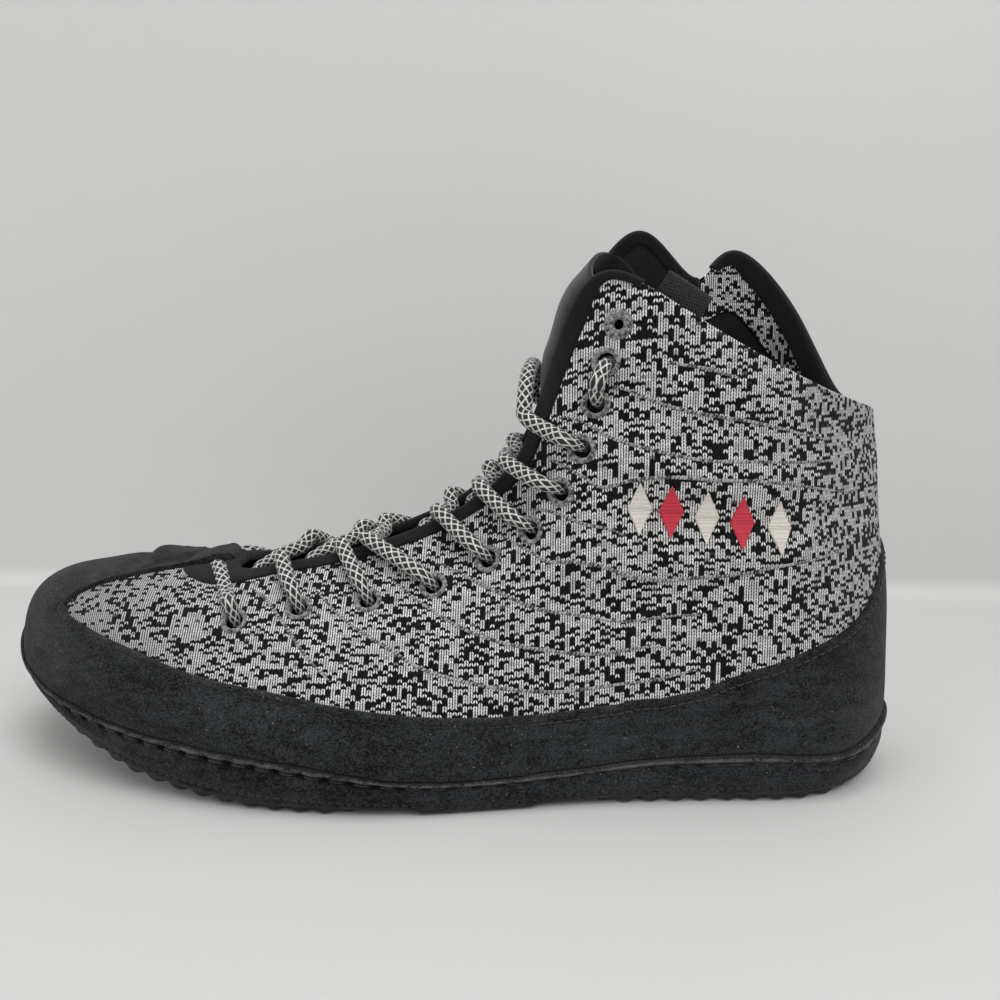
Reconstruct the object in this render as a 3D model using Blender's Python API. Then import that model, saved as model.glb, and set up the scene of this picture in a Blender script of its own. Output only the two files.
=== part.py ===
"""Left wrestling shoe, empty, standing on its sole.

Metres, +Z up. The toe points to -X, the outer (lateral) side faces -Y and the floor is Z = 0.
Every piece on the upper is worked out from one function, upper_surface, which reads the tables of
rows below. A row runs from the sole's lip up to the opening, at one place around the foot.
"""
import bmesh
import bpy
import numpy as np

# Main sizes
LENGTH = 0.298  # what the shares along the foot refer to, a little more than the whole shoe
BALL_WIDTH = 0.104
SHAFT_HEIGHT = 0.154  # lateral front corner of the opening
TOE_SPRING = 0.026
LIP_HEIGHT = 0.0155

# Walls, tapes and clearances
GAP = 0.0003
UPPER_WALL = 0.0024
OVERLAY_THICKNESS = 0.0012
BINDING_THICKNESS = 0.0008
BINDING_WIDTH = 0.0062
TONGUE_THICKNESS = 0.0030
INSOLE_THICKNESS = 0.0030

# Sole
SPRING_START = 0.36  # share of LENGTH where the forefoot begins to rise
HEEL_START = 0.86  # share of LENGTH where the sole's side begins to tuck in towards the heel
HEEL_TUCK = 0.90  # the heel's tuck as a share of the toe's
LIP_DEPTH = 0.0020
POD_THICKNESS = 0.0032
PODS = ((0.045, 0.455), (0.625, 0.958))  # forefoot and heel pod, shares of LENGTH
ARCH_DROP = 0.0026  # how much lower the side comes between the pods
ARCH_RAMP = 0.025  # share of LENGTH over which it comes down
LUG_DEPTH = 0.0011
LUG_PITCH = 0.0075

# Eyelets and lace
EYELET_INSET = 0.0200
EYELET_HOLE = 0.0040
EYELET_RING = 0.0084
EYELET_HEIGHT = 0.0009
EYELET_LIFT = 0.0005
LACE_DIAMETER = 0.0046

# Pull tab
TAB_HEIGHT = 0.022
TAB_THICKNESS = 0.0016
TAB_ROWS = (10.10, 11.10)  # rows of the collar that it spans

# Rows from the toe tip round the lateral side to the heel. Along is a share of LENGTH, lateral and
# medial of BALL_WIDTH, lip of LIP_HEIGHT above the sprung floor, lean of BALL_WIDTH and rise of
# SHAFT_HEIGHT: they steer how the wall leaves the lip.
FOOT_ROWS = np.array([
    # along  lateral medial   lip   l_lean m_lean l_rise m_rise
    (0.003,  0.140,  0.140,  0.88, -0.005, -0.005, 0.130, 0.130),  # toe tip
    (0.030, -0.095,  0.300,  0.72, -0.005, 0.000, 0.150, 0.130),  # toe corner
    (0.118, -0.305,  0.415,  0.85, 0.010, 0.010, 0.170, 0.150),  # toe side
    (0.243, -0.435,  0.478,  1.08, 0.030, 0.020, 0.120, 0.120),  # ball front
    (0.351, -0.487,  0.480,  1.05, 0.030, 0.020, 0.120, 0.120),  # ball
    (0.452, -0.490,  0.425,  0.76, 0.020, 0.010, 0.140, 0.140),  # ball rear
    (0.540, -0.452,  0.360,  0.69, 0.010, 0.000, 0.170, 0.170),  # waist
    (0.608, -0.415,  0.322,  0.74, 0.000, 0.000, 0.200, 0.200),  # instep
    (0.659, -0.392,  0.308,  0.84, 0.000, 0.000, 0.230, 0.230),  # shaft front
    (0.700, -0.377,  0.305,  0.92, 0.000, 0.000, 0.250, 0.250),  # top corner
    (0.740, -0.366,  0.306,  0.97, 0.000, 0.000, 0.250, 0.250),  # collar front
    (0.790, -0.355,  0.310,  1.00, 0.000, 0.000, 0.250, 0.250),  # collar
    (0.851, -0.340,  0.310,  0.98, 0.010, 0.010, 0.240, 0.240),  # collar rear
    (0.912, -0.286,  0.272,  0.93, 0.012, 0.012, 0.230, 0.230),  # heel side
    (0.957, -0.155,  0.150,  1.20, 0.016, 0.016, 0.220, 0.220),  # heel corner
    (0.972,  0.000,  0.000,  1.36, 0.010, 0.010, 0.220, 0.220),  # heel
])
# The opening in the same rows, for each side: along of LENGTH, across of BALL_WIDTH and height of
# SHAFT_HEIGHT, then bulge of BALL_WIDTH and drop of SHAFT_HEIGHT, which steer how the wall reaches it.
OPENING_ROWS = np.array([
    # l_along l_across l_high  m_along m_across m_high  l_bulge m_bulge l_drop m_drop
    (0.266,  0.005,  0.418,  0.266,  0.005,  0.418,  0.47, 0.47, 0.004, 0.004),
    (0.267, -0.055,  0.416,  0.270,  0.062,  0.418,  0.41, 0.38, 0.018, 0.026),
    (0.279, -0.098,  0.411,  0.288,  0.108,  0.416,  0.31, 0.28, 0.060, 0.050),
    (0.324, -0.104,  0.423,  0.338,  0.112,  0.430,  0.24, 0.23, 0.085, 0.080),
    (0.388, -0.104,  0.449,  0.396,  0.112,  0.455,  0.20, 0.20, 0.090, 0.090),
    (0.455, -0.106,  0.489,  0.460,  0.112,  0.495,  0.17, 0.17, 0.100, 0.100),
    (0.522, -0.116,  0.553,  0.525,  0.118,  0.563,  0.15, 0.15, 0.115, 0.115),
    (0.580, -0.160,  0.665,  0.583,  0.145,  0.682,  0.11, 0.11, 0.140, 0.140),
    (0.613, -0.205,  0.855,  0.623,  0.172,  0.890,  0.06, 0.06, 0.200, 0.200),
    (0.650, -0.240,  1.000,  0.678,  0.190,  1.070,  0.03, 0.03, 0.250, 0.250),
    (0.700, -0.285,  0.985,  0.722,  0.215,  1.085,  0.01, 0.01, 0.260, 0.260),
    (0.757, -0.315,  0.917,  0.770,  0.250,  1.005,  0.00, 0.00, 0.260, 0.260),
    (0.825, -0.298,  0.844,  0.815,  0.275,  1.060,  0.00, 0.00, 0.240, 0.240),
    (0.893, -0.205,  0.785,  0.882,  0.205,  0.920,  0.01, 0.01, 0.230, 0.230),
    (0.932, -0.095,  0.758,  0.920,  0.105,  0.770,  0.03, 0.03, 0.220, 0.220),
    (0.945,  0.000,  0.746,  0.945,  0.000,  0.746,  0.03, 0.03, 0.220, 0.220),
])
HALF = len(FOOT_ROWS) - 1  # rows from toe tip to heel
AROUND = 2 * HALF  # rows once around the foot
# Rows, toe to heel, where every piece has a section: closer on the shaft and at the toe
SECTIONS = np.concatenate([np.linspace(0.0, 2.5, 7), np.linspace(3.0, 6.0, 7),
                           np.linspace(6.35, 9.5, 10), np.linspace(9.9, HALF, 14)])
PROFILE = np.array([0.0, 0.09, 0.18, 0.28, 0.38, 0.48, 0.58, 0.68, 0.78, 0.87, 0.94, 1.0])

# Top edge of the suede: row, then height as a share of the profile from the lip to the opening
MUDGUARD_TOP = np.array([
    # row   share
    (0.00, 0.925),
    (0.66, 0.925),
    (0.70, 0.810),
    (0.80, 0.745),
    (0.92, 0.632),
    (1.00, 0.511),
    (1.08, 0.452),
    (1.17, 0.414),
    (1.35, 0.394),
    (1.70, 0.394),
    (2.35, 0.398),
    (2.92, 0.381),
    (3.60, 0.356),
    (4.30, 0.305),
    (4.96, 0.276),
    (5.64, 0.241),
    (6.32, 0.208),
    (6.70, 0.195),
])
COUNTER_TOP = np.array([
    # row   share
    (6.70, 0.195),
    (7.50, 0.168),
    (8.50, 0.146),
    (9.60, 0.146),
    (10.60, 0.168),
    (11.90, 0.252),
    (12.68, 0.328),
    (13.18, 0.375),
    (13.62, 0.430),
    (14.17, 0.516),
    (15.00, 0.585),
])
SIDE_SEAM = 6.70  # row of the seam between mudguard and counter

# Side of the sole from its top edge down: share of the height, then how far it stands out from the
# upper's lip at the sides and at the toe, in shares of LIP_DEPTH
SOLE_SIDE = np.array([
    # depth  side   toe
    (0.00,  0.10,  0.10),
    (0.03,  0.85,  0.85),
    (0.10,  1.00,  1.00),
    (0.17,  0.80,  0.75),
    (0.21,  0.35,  0.30),
    (0.27,  0.70,  0.50),
    (0.55,  0.85,  0.00),
    (0.74,  0.70, -0.60),
    (0.79,  0.35, -1.00),
    (0.84,  0.65, -1.20),
    (1.00,  0.40, -2.60),
])

# Eyelets from the toe up: row of the opening, then distance inside its edge in EYELET_INSET
EYELETS = np.array([
    # row  inset
    (2.30, 1.17),
    (3.36, 1.00),
    (4.38, 1.02),
    (5.26, 1.05),
    (6.04, 1.00),
    (6.60, 1.00),
    (7.03, 0.95),
    (7.44, 0.89),
    (7.84, 0.80),
    (8.24, 0.72),
    (8.76, 0.66),
])
LACED_PAIRS = 8
OUTSIDE_PAIR = (8, 9)  # places in EYELETS of the pair that a short strand joins up each side

# Finish: colour, roughness
KNIT = ((0.16, 0.16, 0.17), 0.90)
SUEDE = ((0.022, 0.022, 0.024), 0.95)
RUBBER = ((0.014, 0.014, 0.015), 0.70)
TAPE = ((0.012, 0.012, 0.013), 0.85)
LINING = ((0.018, 0.018, 0.020), 0.90)
THREAD = ((0.20, 0.20, 0.21), 0.80)
CORD = ((0.10, 0.10, 0.10), 0.75)


def clear_scene():
    for obj in list(bpy.data.objects):
        bpy.data.objects.remove(obj, do_unlink=True)


def finish(name, look):
    """A Principled material with one colour and one roughness."""
    colour, roughness = look
    material = bpy.data.materials.new(name)
    material.use_nodes = True
    shader = material.node_tree.nodes["Principled BSDF"]
    shader.inputs["Base Color"].default_value = (*colour, 1.0)
    shader.inputs["Roughness"].default_value = roughness
    shader.inputs["Metallic"].default_value = 0.0
    return material


def add_object(name, points, faces, look):
    mesh = bpy.data.meshes.new(name)
    mesh.from_pydata(np.asarray(points).tolist(), [], faces)
    solid = bmesh.new()
    solid.from_mesh(mesh)
    bmesh.ops.recalc_face_normals(solid, faces=solid.faces)
    solid.to_mesh(mesh)
    solid.free()
    mesh.materials.append(finish(name + "_finish", look))
    obj = bpy.data.objects.new(name, mesh)
    bpy.context.scene.collection.objects.link(obj)
    return obj


def closed_spline(rows, s):
    """Smooth closed curve through the rows (a periodic cubic spline), read at row numbers s."""
    count = len(rows)
    here = np.arange(count)
    system = 4.0 * np.eye(count)
    system[here, (here + 1) % count] = 1.0
    system[here, (here - 1) % count] = 1.0
    bend = np.linalg.solve(system, 6.0 * (np.roll(rows, -1, 0) - 2.0 * rows + np.roll(rows, 1, 0)))
    first = np.floor(s).astype(int)
    b = (s - first)[..., None]
    a = 1.0 - b
    first, second = first % count, (first + 1) % count
    curve = (a ** 3 - a) * bend[first] + (b ** 3 - b) * bend[second]
    return a * rows[first] + b * rows[second] + curve / 6.0


def spring(x):
    """Rise of the floor line at x: a parabola from SPRING_START forward to TOE_SPRING at the tip."""
    reach = np.clip(1.0 - x / (SPRING_START * LENGTH), 0.0, None)
    return TOE_SPRING * reach ** 2


def both_sides(lateral, medial):
    """The lateral rows from toe to heel, then the medial rows back to the toe."""
    return np.concatenate([lateral, medial[-2:0:-1]])


def side_table(along, across, lip, lean, rise, edge, bulge, drop):
    x = along * LENGTH
    foot = np.stack([x, across * BALL_WIDTH, spring(x) + lip * LIP_HEIGHT], 1)
    size = np.array([LENGTH, BALL_WIDTH, SHAFT_HEIGHT])
    steer = np.stack([lean * BALL_WIDTH, rise * SHAFT_HEIGHT, bulge * BALL_WIDTH, drop * SHAFT_HEIGHT], 1)
    return np.concatenate([foot, edge * size, steer], 1)


def row_table():
    """All rows in metres: foot point, opening point, lean, rise, bulge, drop."""
    along, l_out, m_out, lip, l_lean, m_lean, l_rise, m_rise = FOOT_ROWS.T
    l_bulge, m_bulge, l_drop, m_drop = OPENING_ROWS[:, 6:].T
    lateral = side_table(along, l_out, lip, l_lean, l_rise, OPENING_ROWS[:, 0:3], l_bulge, l_drop)
    medial = side_table(along, m_out, lip, m_lean, m_rise, OPENING_ROWS[:, 3:6], m_bulge, m_drop)
    return both_sides(lateral, medial)


ROWS = row_table()


def outward(s):
    """Level direction away from the foot, square to the lip line at row number s."""
    step = 0.05
    run = closed_spline(ROWS, s + step)[..., :2] - closed_spline(ROWS, s - step)[..., :2]
    run = run / np.linalg.norm(run, axis=-1, keepdims=True)
    return np.stack([run[..., 1], -run[..., 0], np.zeros(run.shape[:-1])], -1)


def upper_surface(s, t):
    """Outside of the upper. In each row a cubic Bezier curve climbs from the lip (t = 0) to the
    opening (t = 1), leaving the lip by lean and rise and reaching the opening from bulge and drop."""
    s, t = np.broadcast_arrays(np.asarray(s, float), np.asarray(t, float))
    row = closed_spline(ROWS, s)
    foot, edge = row[..., 0:3], row[..., 3:6]
    lean, rise, bulge, drop = (row[..., k, None] for k in range(6, 10))
    out, up = outward(s), np.array([0.0, 0.0, 1.0])
    low = foot + out * lean + up * rise
    high = edge + out * bulge - up * drop
    t = t[..., None]
    u = 1.0 - t
    return u ** 3 * foot + 3.0 * u ** 2 * t * low + 3.0 * u * t ** 2 * high + t ** 3 * edge


def upper_normal(s, t):
    along = upper_surface(s + 0.02, t) - upper_surface(s - 0.02, t)
    climb = upper_surface(s, t + 0.01) - upper_surface(s, t - 0.01)
    normal = np.cross(along, climb)
    return normal / np.linalg.norm(normal, axis=-1, keepdims=True)


def skin(s, t, distance):
    """The upper's surface moved out (or in, when negative) along its normal."""
    s, t = np.broadcast_arrays(np.asarray(s, float), np.asarray(t, float))
    return upper_surface(s, t) + upper_normal(s, t) * distance


def inside_edge(s, distance, steps=6):
    """Row numbers and shares of the points that lie a distance inside the opening's edge, found by
    walking over the surface in short straight steps, square to the edge at the start."""
    s, distance = np.broadcast_arrays(np.asarray(s, float), np.asarray(distance, float))
    s, t = s.copy(), np.ones(s.shape)
    stride = (distance / steps)[..., None]
    heading = None
    for _ in range(steps):
        along = (upper_surface(s + 0.02, t) - upper_surface(s - 0.02, t)) / 0.04
        climb = (upper_surface(s, t + 0.01) - upper_surface(s, t - 0.01)) / 0.02
        normal = np.cross(along, climb)
        normal = normal / np.linalg.norm(normal, axis=-1, keepdims=True)
        if heading is None:
            heading = np.cross(along, normal)
        heading = heading - normal * np.sum(heading * normal, -1, keepdims=True)
        heading = heading / np.linalg.norm(heading, axis=-1, keepdims=True)
        move = heading * stride
        aa, bb, ab = (np.sum(p * q, -1) for p, q in ((along, along), (climb, climb), (along, climb)))
        ma, mb = np.sum(move * along, -1), np.sum(move * climb, -1)
        s = s + (ma * bb - mb * ab) / (aa * bb - ab ** 2)
        t = t + (mb * aa - ma * ab) / (aa * bb - ab ** 2)
    return s, t


def near_edge(s, distance, depth):
    """Point a distance inside the opening's edge, moved off the surface by depth."""
    rows, shares = inside_edge(s, distance)
    return skin(rows, shares, depth)


def grid_faces(rows, columns, offset, loop, flip):
    """Quads of a grid whose points are numbered row by row from offset."""
    faces = []
    for i in range(rows if loop else rows - 1):
        for j in range(columns - 1):
            near, far = offset + i * columns + j, offset + (i + 1) % rows * columns + j
            face = (near, far, far + 1, near + 1)
            faces.append(face[::-1] if flip else face)
    return faces


def sheet_solid(name, front, back, look, loop=False):
    """Closed solid between two grids of points: front faces out, back faces in, rims join them."""
    rows, columns = front.shape[:2]
    count = rows * columns
    faces = grid_faces(rows, columns, 0, loop, False) + grid_faces(rows, columns, count, loop, True)
    for i in range(rows if loop else rows - 1):
        a, b = i * columns, (i + 1) % rows * columns
        faces.append((a, a + count, b + count, b))
        a, b = a + columns - 1, b + columns - 1
        faces.append((a, b, b + count, a + count))
    if not loop:
        for j in range(columns - 1):
            last = (rows - 1) * columns + j
            faces.append((j, j + 1, j + 1 + count, j + count))
            faces.append((last, last + count, last + 1 + count, last + 1))
    points = np.concatenate([front.reshape(-1, 3), back.reshape(-1, 3)])
    return add_object(name, points, faces, look)


def loft_solid(name, loops, look):
    """Closed solid through loops of equal count, listed from the top down. Each loop runs toe,
    lateral side, heel, medial side, and its caps are strips from side to side."""
    levels, count = loops.shape[:2]
    faces = []
    for k in range(levels - 1):
        for i in range(count):
            a, b = k * count + i, k * count + (i + 1) % count
            faces.append((a, a + count, b + count, b))
    for level, flip in ((0, False), (levels - 1, True)):
        base = level * count
        for i in range(count // 2):
            strip = [base + i, base + i + 1, base + (count - i - 1) % count, base + (count - i) % count]
            strip = list(dict.fromkeys(strip))
            faces.append(tuple(strip[::-1]) if flip else tuple(strip))
    return add_object(name, loops.reshape(-1, 3), faces, look)


def row_numbers(first=None, last=None, keep=()):
    """The rows that all pieces share, once around or between two row numbers. Rows to keep are
    added, and shared rows that nearly touch them are left out."""
    shared = np.concatenate([SECTIONS, AROUND - SECTIONS[-2:0:-1]])
    if first is None:
        return shared
    shared = np.concatenate([shared - AROUND, shared, shared + AROUND])
    kept = np.array([first, last, *keep])
    close = np.abs(shared[:, None] - kept[None, :]).min(1) < 0.03
    inside = (shared > first) & (shared < last)
    return np.sort(np.concatenate([shared[inside & ~close], kept]))


# Upper

def eyelet_frames():
    """Centre, outward normal and upward direction of every eyelet, lateral ones first."""
    edge = np.concatenate([EYELETS[:, 0], AROUND - EYELETS[:, 0]])
    rows, shares = inside_edge(edge, np.tile(EYELETS[:, 1], 2) * EYELET_INSET)
    centre, normal = upper_surface(rows, shares), upper_normal(rows, shares)
    climb = upper_surface(rows, shares + 0.01) - upper_surface(rows, shares - 0.01)
    climb = climb / np.linalg.norm(climb, axis=1, keepdims=True)
    return centre, normal, climb


def ring_points(centre, normal, climb, radius, lift, sides):
    angle = np.linspace(0.0, 2.0 * np.pi, sides, endpoint=False)[:, None] + 0.2
    across = np.cross(normal, climb)
    return centre + normal * lift + radius * (np.cos(angle) * across + np.sin(angle) * climb)


def eyelet_cutter():
    """One mesh with a short rod through every eyelet."""
    sides, points, faces = 8, [], []
    for centre, normal, climb in zip(*eyelet_frames()):
        base = len(points) * sides
        reach = 2.0 * UPPER_WALL
        points.append(ring_points(centre, normal, climb, EYELET_HOLE / 2.0, reach, sides))
        points.append(ring_points(centre, normal, climb, EYELET_HOLE / 2.0, -reach, sides))
        faces.append(tuple(range(base, base + sides)))
        faces.append(tuple(range(base + 2 * sides - 1, base + sides - 1, -1)))
        for i in range(sides):
            j = (i + 1) % sides
            faces.append((base + i, base + sides + i, base + sides + j, base + j))
    return add_object("cutter", np.concatenate(points), faces, KNIT)


def cut(obj, cutter, operation="DIFFERENCE"):
    """Apply a Boolean to the object's mesh and remove the cutter."""
    modifier = obj.modifiers.new("cut", "BOOLEAN")
    modifier.operation = operation
    modifier.solver = "EXACT"
    modifier.object = cutter
    view = bpy.context.evaluated_depsgraph_get()
    mesh = bpy.data.meshes.new_from_object(obj.evaluated_get(view))
    obj.modifiers.clear()
    obj.data = mesh
    mesh.name = obj.name
    bpy.data.objects.remove(cutter, do_unlink=True)


def build_upper():
    rows = row_numbers()[:, None]
    outer, inner = skin(rows, PROFILE[None, :], 0.0), skin(rows, PROFILE[None, :], -UPPER_WALL)
    obj = sheet_solid("upper", outer, inner, KNIT, loop=True)
    cut(obj, eyelet_cutter())


# Suede overlays, cut between two larger forms of the upper's own surface

def overlay(name, rows, high, steps, look):
    """Suede from just above the lip up to the share high, in steps that are shares of its height."""
    shares = 0.02 + (high[:, None] - 0.02) * steps[None, :]
    rows = np.broadcast_to(rows[:, None], shares.shape)
    return sheet_solid(name, skin(rows, shares, GAP + OVERLAY_THICKNESS), skin(rows, shares, GAP), look)


def mirrored_share(rows, table):
    """Share from a table of the lateral rows, also for the medial rows, which mirror them."""
    side = np.abs((rows + HALF) % AROUND - HALF)
    return np.interp(side, table[:, 0], table[:, 1])


def build_mudguard():
    end = SIDE_SEAM - 0.02
    tip = MUDGUARD_TOP[1:9, 0].tolist()
    rows = row_numbers(-end, end, [-row for row in tip] + tip)
    overlay("toe_mudguard", rows, mirrored_share(rows, MUDGUARD_TOP), PROFILE, SUEDE)


def build_counter():
    rows = row_numbers(SIDE_SEAM + 0.02, AROUND - SIDE_SEAM - 0.02)
    overlay("heel_counter", rows, mirrored_share(rows, COUNTER_TOP), np.linspace(0.0, 1.0, 7), SUEDE)


# Sole

def sole_loops(rows):
    """Loops of the sole's side from its lip to its bottom edge, by the table SOLE_SIDE."""
    foot = closed_spline(ROWS, rows)[:, :3]
    out = outward(rows)
    toe = np.clip(1.0 - foot[:, 0] / (0.5 * SPRING_START * LENGTH), 0.0, 1.0) ** 0.7
    heel = np.clip((foot[:, 0] / LENGTH - HEEL_START) / (1.0 - HEEL_START), 0.0, 1.0)
    tuck = np.maximum(toe, HEEL_TUCK * heel)[:, None]
    along = foot[:, 0] / LENGTH
    arch = np.clip(np.minimum(along - PODS[0][1], PODS[1][0] - along) / ARCH_RAMP - 0.3, 0.0, 1.0)
    bottom = spring(foot[:, 0]) + POD_THICKNESS - ARCH_DROP * arch
    loops = []
    for depth, side, front in SOLE_SIDE:
        stand = (side * (1.0 - tuck) + front * tuck) * LIP_DEPTH
        loop = foot + out * stand
        loop[:, 2] = (foot[:, 2] - GAP) * (1.0 - depth) + bottom * depth
        loops.append(loop)
    return np.array(loops)


def build_midsole():
    loft_solid("midsole", sole_loops(row_numbers()), SUEDE)


def sole_edges(x):
    """Lateral and medial edge of the sole's bottom at x."""
    rows = np.linspace(0.0, AROUND, 600)
    bottom = sole_loops(rows)[-1]
    half = len(rows) // 2
    lateral = np.interp(x, bottom[:half, 0], bottom[:half, 1])
    medial = np.interp(x, bottom[half:, 0][::-1], bottom[half:, 1][::-1])
    return lateral, medial


def build_pod(name, start, end, chevron):
    """Rubber pod under the sole: bars of LUG_PITCH across it, bent forward by chevron at the
    middle, with grooves of LUG_DEPTH between them, so its edge is scalloped."""
    bars = int(round((end - start) * LENGTH / LUG_PITCH))
    pitch = (end - start) * LENGTH / bars
    places, lugs = [], []
    for bar in range(bars):
        for place, lug in ((0.0, 0.0), (0.08, 1.0), (0.68, 1.0), (0.76, 0.0)):
            places.append((bar + place) * pitch)
            lugs.append(lug)
    x = start * LENGTH + np.array(places)[:, None]
    lug = np.array(lugs)[:, None]
    across = np.linspace(-1.0, 1.0, 5)[None, :]
    x = x + chevron * (np.abs(across) - 1.0) * np.sin(np.pi * (x / LENGTH - start) / (end - start))
    end_round = np.minimum(x - start * LENGTH, end * LENGTH - x) / (0.06 * LENGTH)
    inset = 0.0004 + 0.0011 * (1.0 - lug) + 0.012 * np.clip(1.0 - end_round, 0.0, 1.0) ** 2
    lateral, medial = sole_edges(x)
    lateral, medial = lateral + inset, medial - inset
    y = (lateral + medial) / 2.0 + across * (medial - lateral) / 2.0
    floor = spring(x)
    top = np.stack([x, y, floor + POD_THICKNESS - GAP], -1)
    bottom = np.stack([x, y, floor + LUG_DEPTH * (1.0 - lug)], -1)
    sheet_solid(name, top, bottom, RUBBER)


def build_insole():
    rows = row_numbers()
    foot = closed_spline(ROWS, rows)[:, :3]
    loops = []
    for share, inset in ((1.0, 0.0010), (0.7, 0.0004), (0.0, 0.0004)):
        loop = foot - outward(rows) * (UPPER_WALL + GAP + inset + 0.0012)
        loop[:, 2] = foot[:, 2] + share * INSOLE_THICKNESS
        loops.append(loop)
    loft_solid("insole", np.array(loops), LINING)


# Tongue and tapes

def tongue_section(row, depth):
    """One section across the throat, a distance depth inside the upper's outer surface. It follows
    both walls up to their edges and bridges the throat between them on a Bezier curve."""
    reach = np.array([0.70, 0.42, 0.16]) * EYELET_INSET
    left, right = near_edge(row, reach, -depth), near_edge(AROUND - row, reach, -depth)
    left_run, right_run = left[2] - left[1], right[2] - right[1]
    span = np.linalg.norm(right[2] - left[2])
    a = left[2] + left_run / np.linalg.norm(left_run) * span * 0.2
    b = right[2] + right_run / np.linalg.norm(right_run) * span * 0.2
    t = np.linspace(0.0, 1.0, 6)[1:-1, None]
    bridge = (1 - t) ** 3 * left[2] + 3 * (1 - t) ** 2 * t * a + 3 * (1 - t) * t ** 2 * b + t ** 3 * right[2]
    return np.concatenate([left, bridge, right[::-1]])


TONGUE_ROWS = (1.7, 8.95)  # first and last row of the opening that it fills
TONGUE_DEPTH = UPPER_WALL + GAP + BINDING_THICKNESS + GAP


def over_throat(row, share, ride, bed):
    """Point a share of the way across the throat, lateral side first. It lies ride above the line
    between the two edges, or bed above the tongue where the tongue stands higher."""
    edges = upper_surface(np.array([row, AROUND - row]), 1.0)
    up = upper_normal(np.array([row, AROUND - row]), 1.0).mean(0)
    up = up / np.linalg.norm(up)
    point = edges[0] * (1.0 - share) + edges[1] * share
    tongue = tongue_section(row, TONGUE_DEPTH)
    height = np.max((tongue - point) @ up)
    return point + up * max(ride, height + bed)


def build_tongue():
    rows = row_numbers(*TONGUE_ROWS)
    outer = np.array([tongue_section(row, TONGUE_DEPTH) for row in rows])
    inner = np.array([tongue_section(row, TONGUE_DEPTH + TONGUE_THICKNESS) for row in rows])
    sheet_solid("tongue", outer, inner, LINING)


def folded_tape(name, rows, outer_width, inner_width, thickness, look):
    """Tape folded over the opening's edge: an outer leaf, a top and an inner leaf."""
    leaf = np.array([1.0, 0.5]) * outer_width
    front, back = [], []
    for row in rows:
        edge, normal = upper_surface(row, 1.0), upper_normal(row, 1.0)
        rise = np.cross(normal, upper_surface(row + 0.02, 1.0) - upper_surface(row - 0.02, 1.0))
        rise = rise / np.linalg.norm(rise)
        middle = edge - normal * UPPER_WALL
        for lift, over, side in ((GAP + thickness, GAP, front), (GAP, 0.5 * GAP, back)):
            outer = list(near_edge(row, leaf, lift + 1.5 * GAP))
            fold = [edge + normal * lift + rise * over,
                    edge + normal * 0.5 * GAP + rise * lift,
                    middle - normal * 0.5 * GAP + rise * lift,
                    middle - normal * lift + rise * over]
            inner = [near_edge(row, inner_width, -UPPER_WALL - lift - GAP)]
            side.append(outer + fold + inner)
    sheet_solid(name, np.array(front), np.array(back), look)


def build_throat_binding():
    rows = row_numbers(-9.2, 9.6)
    folded_tape("throat_binding", rows, BINDING_WIDTH, 0.4 * BINDING_WIDTH, BINDING_THICKNESS, TAPE)


def build_collar_binding():
    rows = row_numbers(AROUND - 14.6, AROUND - 11.7)
    folded_tape("collar_binding", rows, 0.4 * BINDING_WIDTH, BINDING_WIDTH, 1.5 * BINDING_THICKNESS, TAPE)


def build_pull_tab():
    """Webbing tab that stands inside the lateral collar, its foot along the upper's inner wall."""
    rows = row_numbers(*TAB_ROWS)
    depth = UPPER_WALL + GAP
    front, back = [], []
    for row in rows:
        reach = np.array([0.70, 0.35, 0.0]) * TAB_HEIGHT
        for side, bag in ((0.0, front), (TAB_THICKNESS, back)):
            foot = list(near_edge(row, reach, -depth - side))
            rise = (foot[2] - foot[1]) / np.linalg.norm(foot[2] - foot[1])
            top = foot[2] + rise * 0.3 * TAB_HEIGHT
            bag.append(foot + [top])
    sheet_solid("pull_tab", np.array(front), np.array(back), TAPE)


# Eyelets and lace

def build_eyelets():
    sides = 8
    frames = list(zip(*eyelet_frames()))
    for number, (centre, normal, climb) in enumerate(frames):
        side = "lateral" if number < len(frames) // 2 else "medial"
        name = f"eyelet_{side}_{number % (len(frames) // 2) + 1:02d}"
        outer, inner = EYELET_RING / 2.0, EYELET_HOLE / 2.0
        rings = ((outer, 0.0), (0.5 * (outer + inner), EYELET_HEIGHT), (inner, 0.0))
        points = [ring_points(centre, normal, climb, r, EYELET_LIFT + h, sides) for r, h in rings]
        faces = []
        for k in range(3):
            a, b = k * sides, (k + 1) % 3 * sides
            for i in range(sides):
                j = (i + 1) % sides
                faces.append((a + i, a + j, b + j, b + i))
        add_object(name, np.concatenate(points), faces, THREAD)


def tube(name, path, radius, look, sides=5):
    """Closed round tube along a smooth path, with rings square to it."""
    run = np.gradient(path, axis=0)
    run = run / np.linalg.norm(run, axis=1, keepdims=True)
    side = np.cross(run, np.array([1.0, 0.0, 0.2]))
    side = side / np.linalg.norm(side, axis=1, keepdims=True)
    other = np.cross(run, side)
    angle = np.linspace(0.0, 2.0 * np.pi, sides, endpoint=False)[None, :, None]
    rings = path[:, None] + radius * (np.cos(angle) * side[:, None] + np.sin(angle) * other[:, None])
    faces = [tuple(range(sides))[::-1]]
    for k in range(len(path) - 1):
        for i in range(sides):
            j = (i + 1) % sides
            faces.append((k * sides + i, k * sides + j, (k + 1) * sides + j, (k + 1) * sides + i))
    last = (len(path) - 1) * sides
    faces.append(tuple(range(last, last + sides)))
    return add_object(name, rings.reshape(-1, 3), faces, look)


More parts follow.
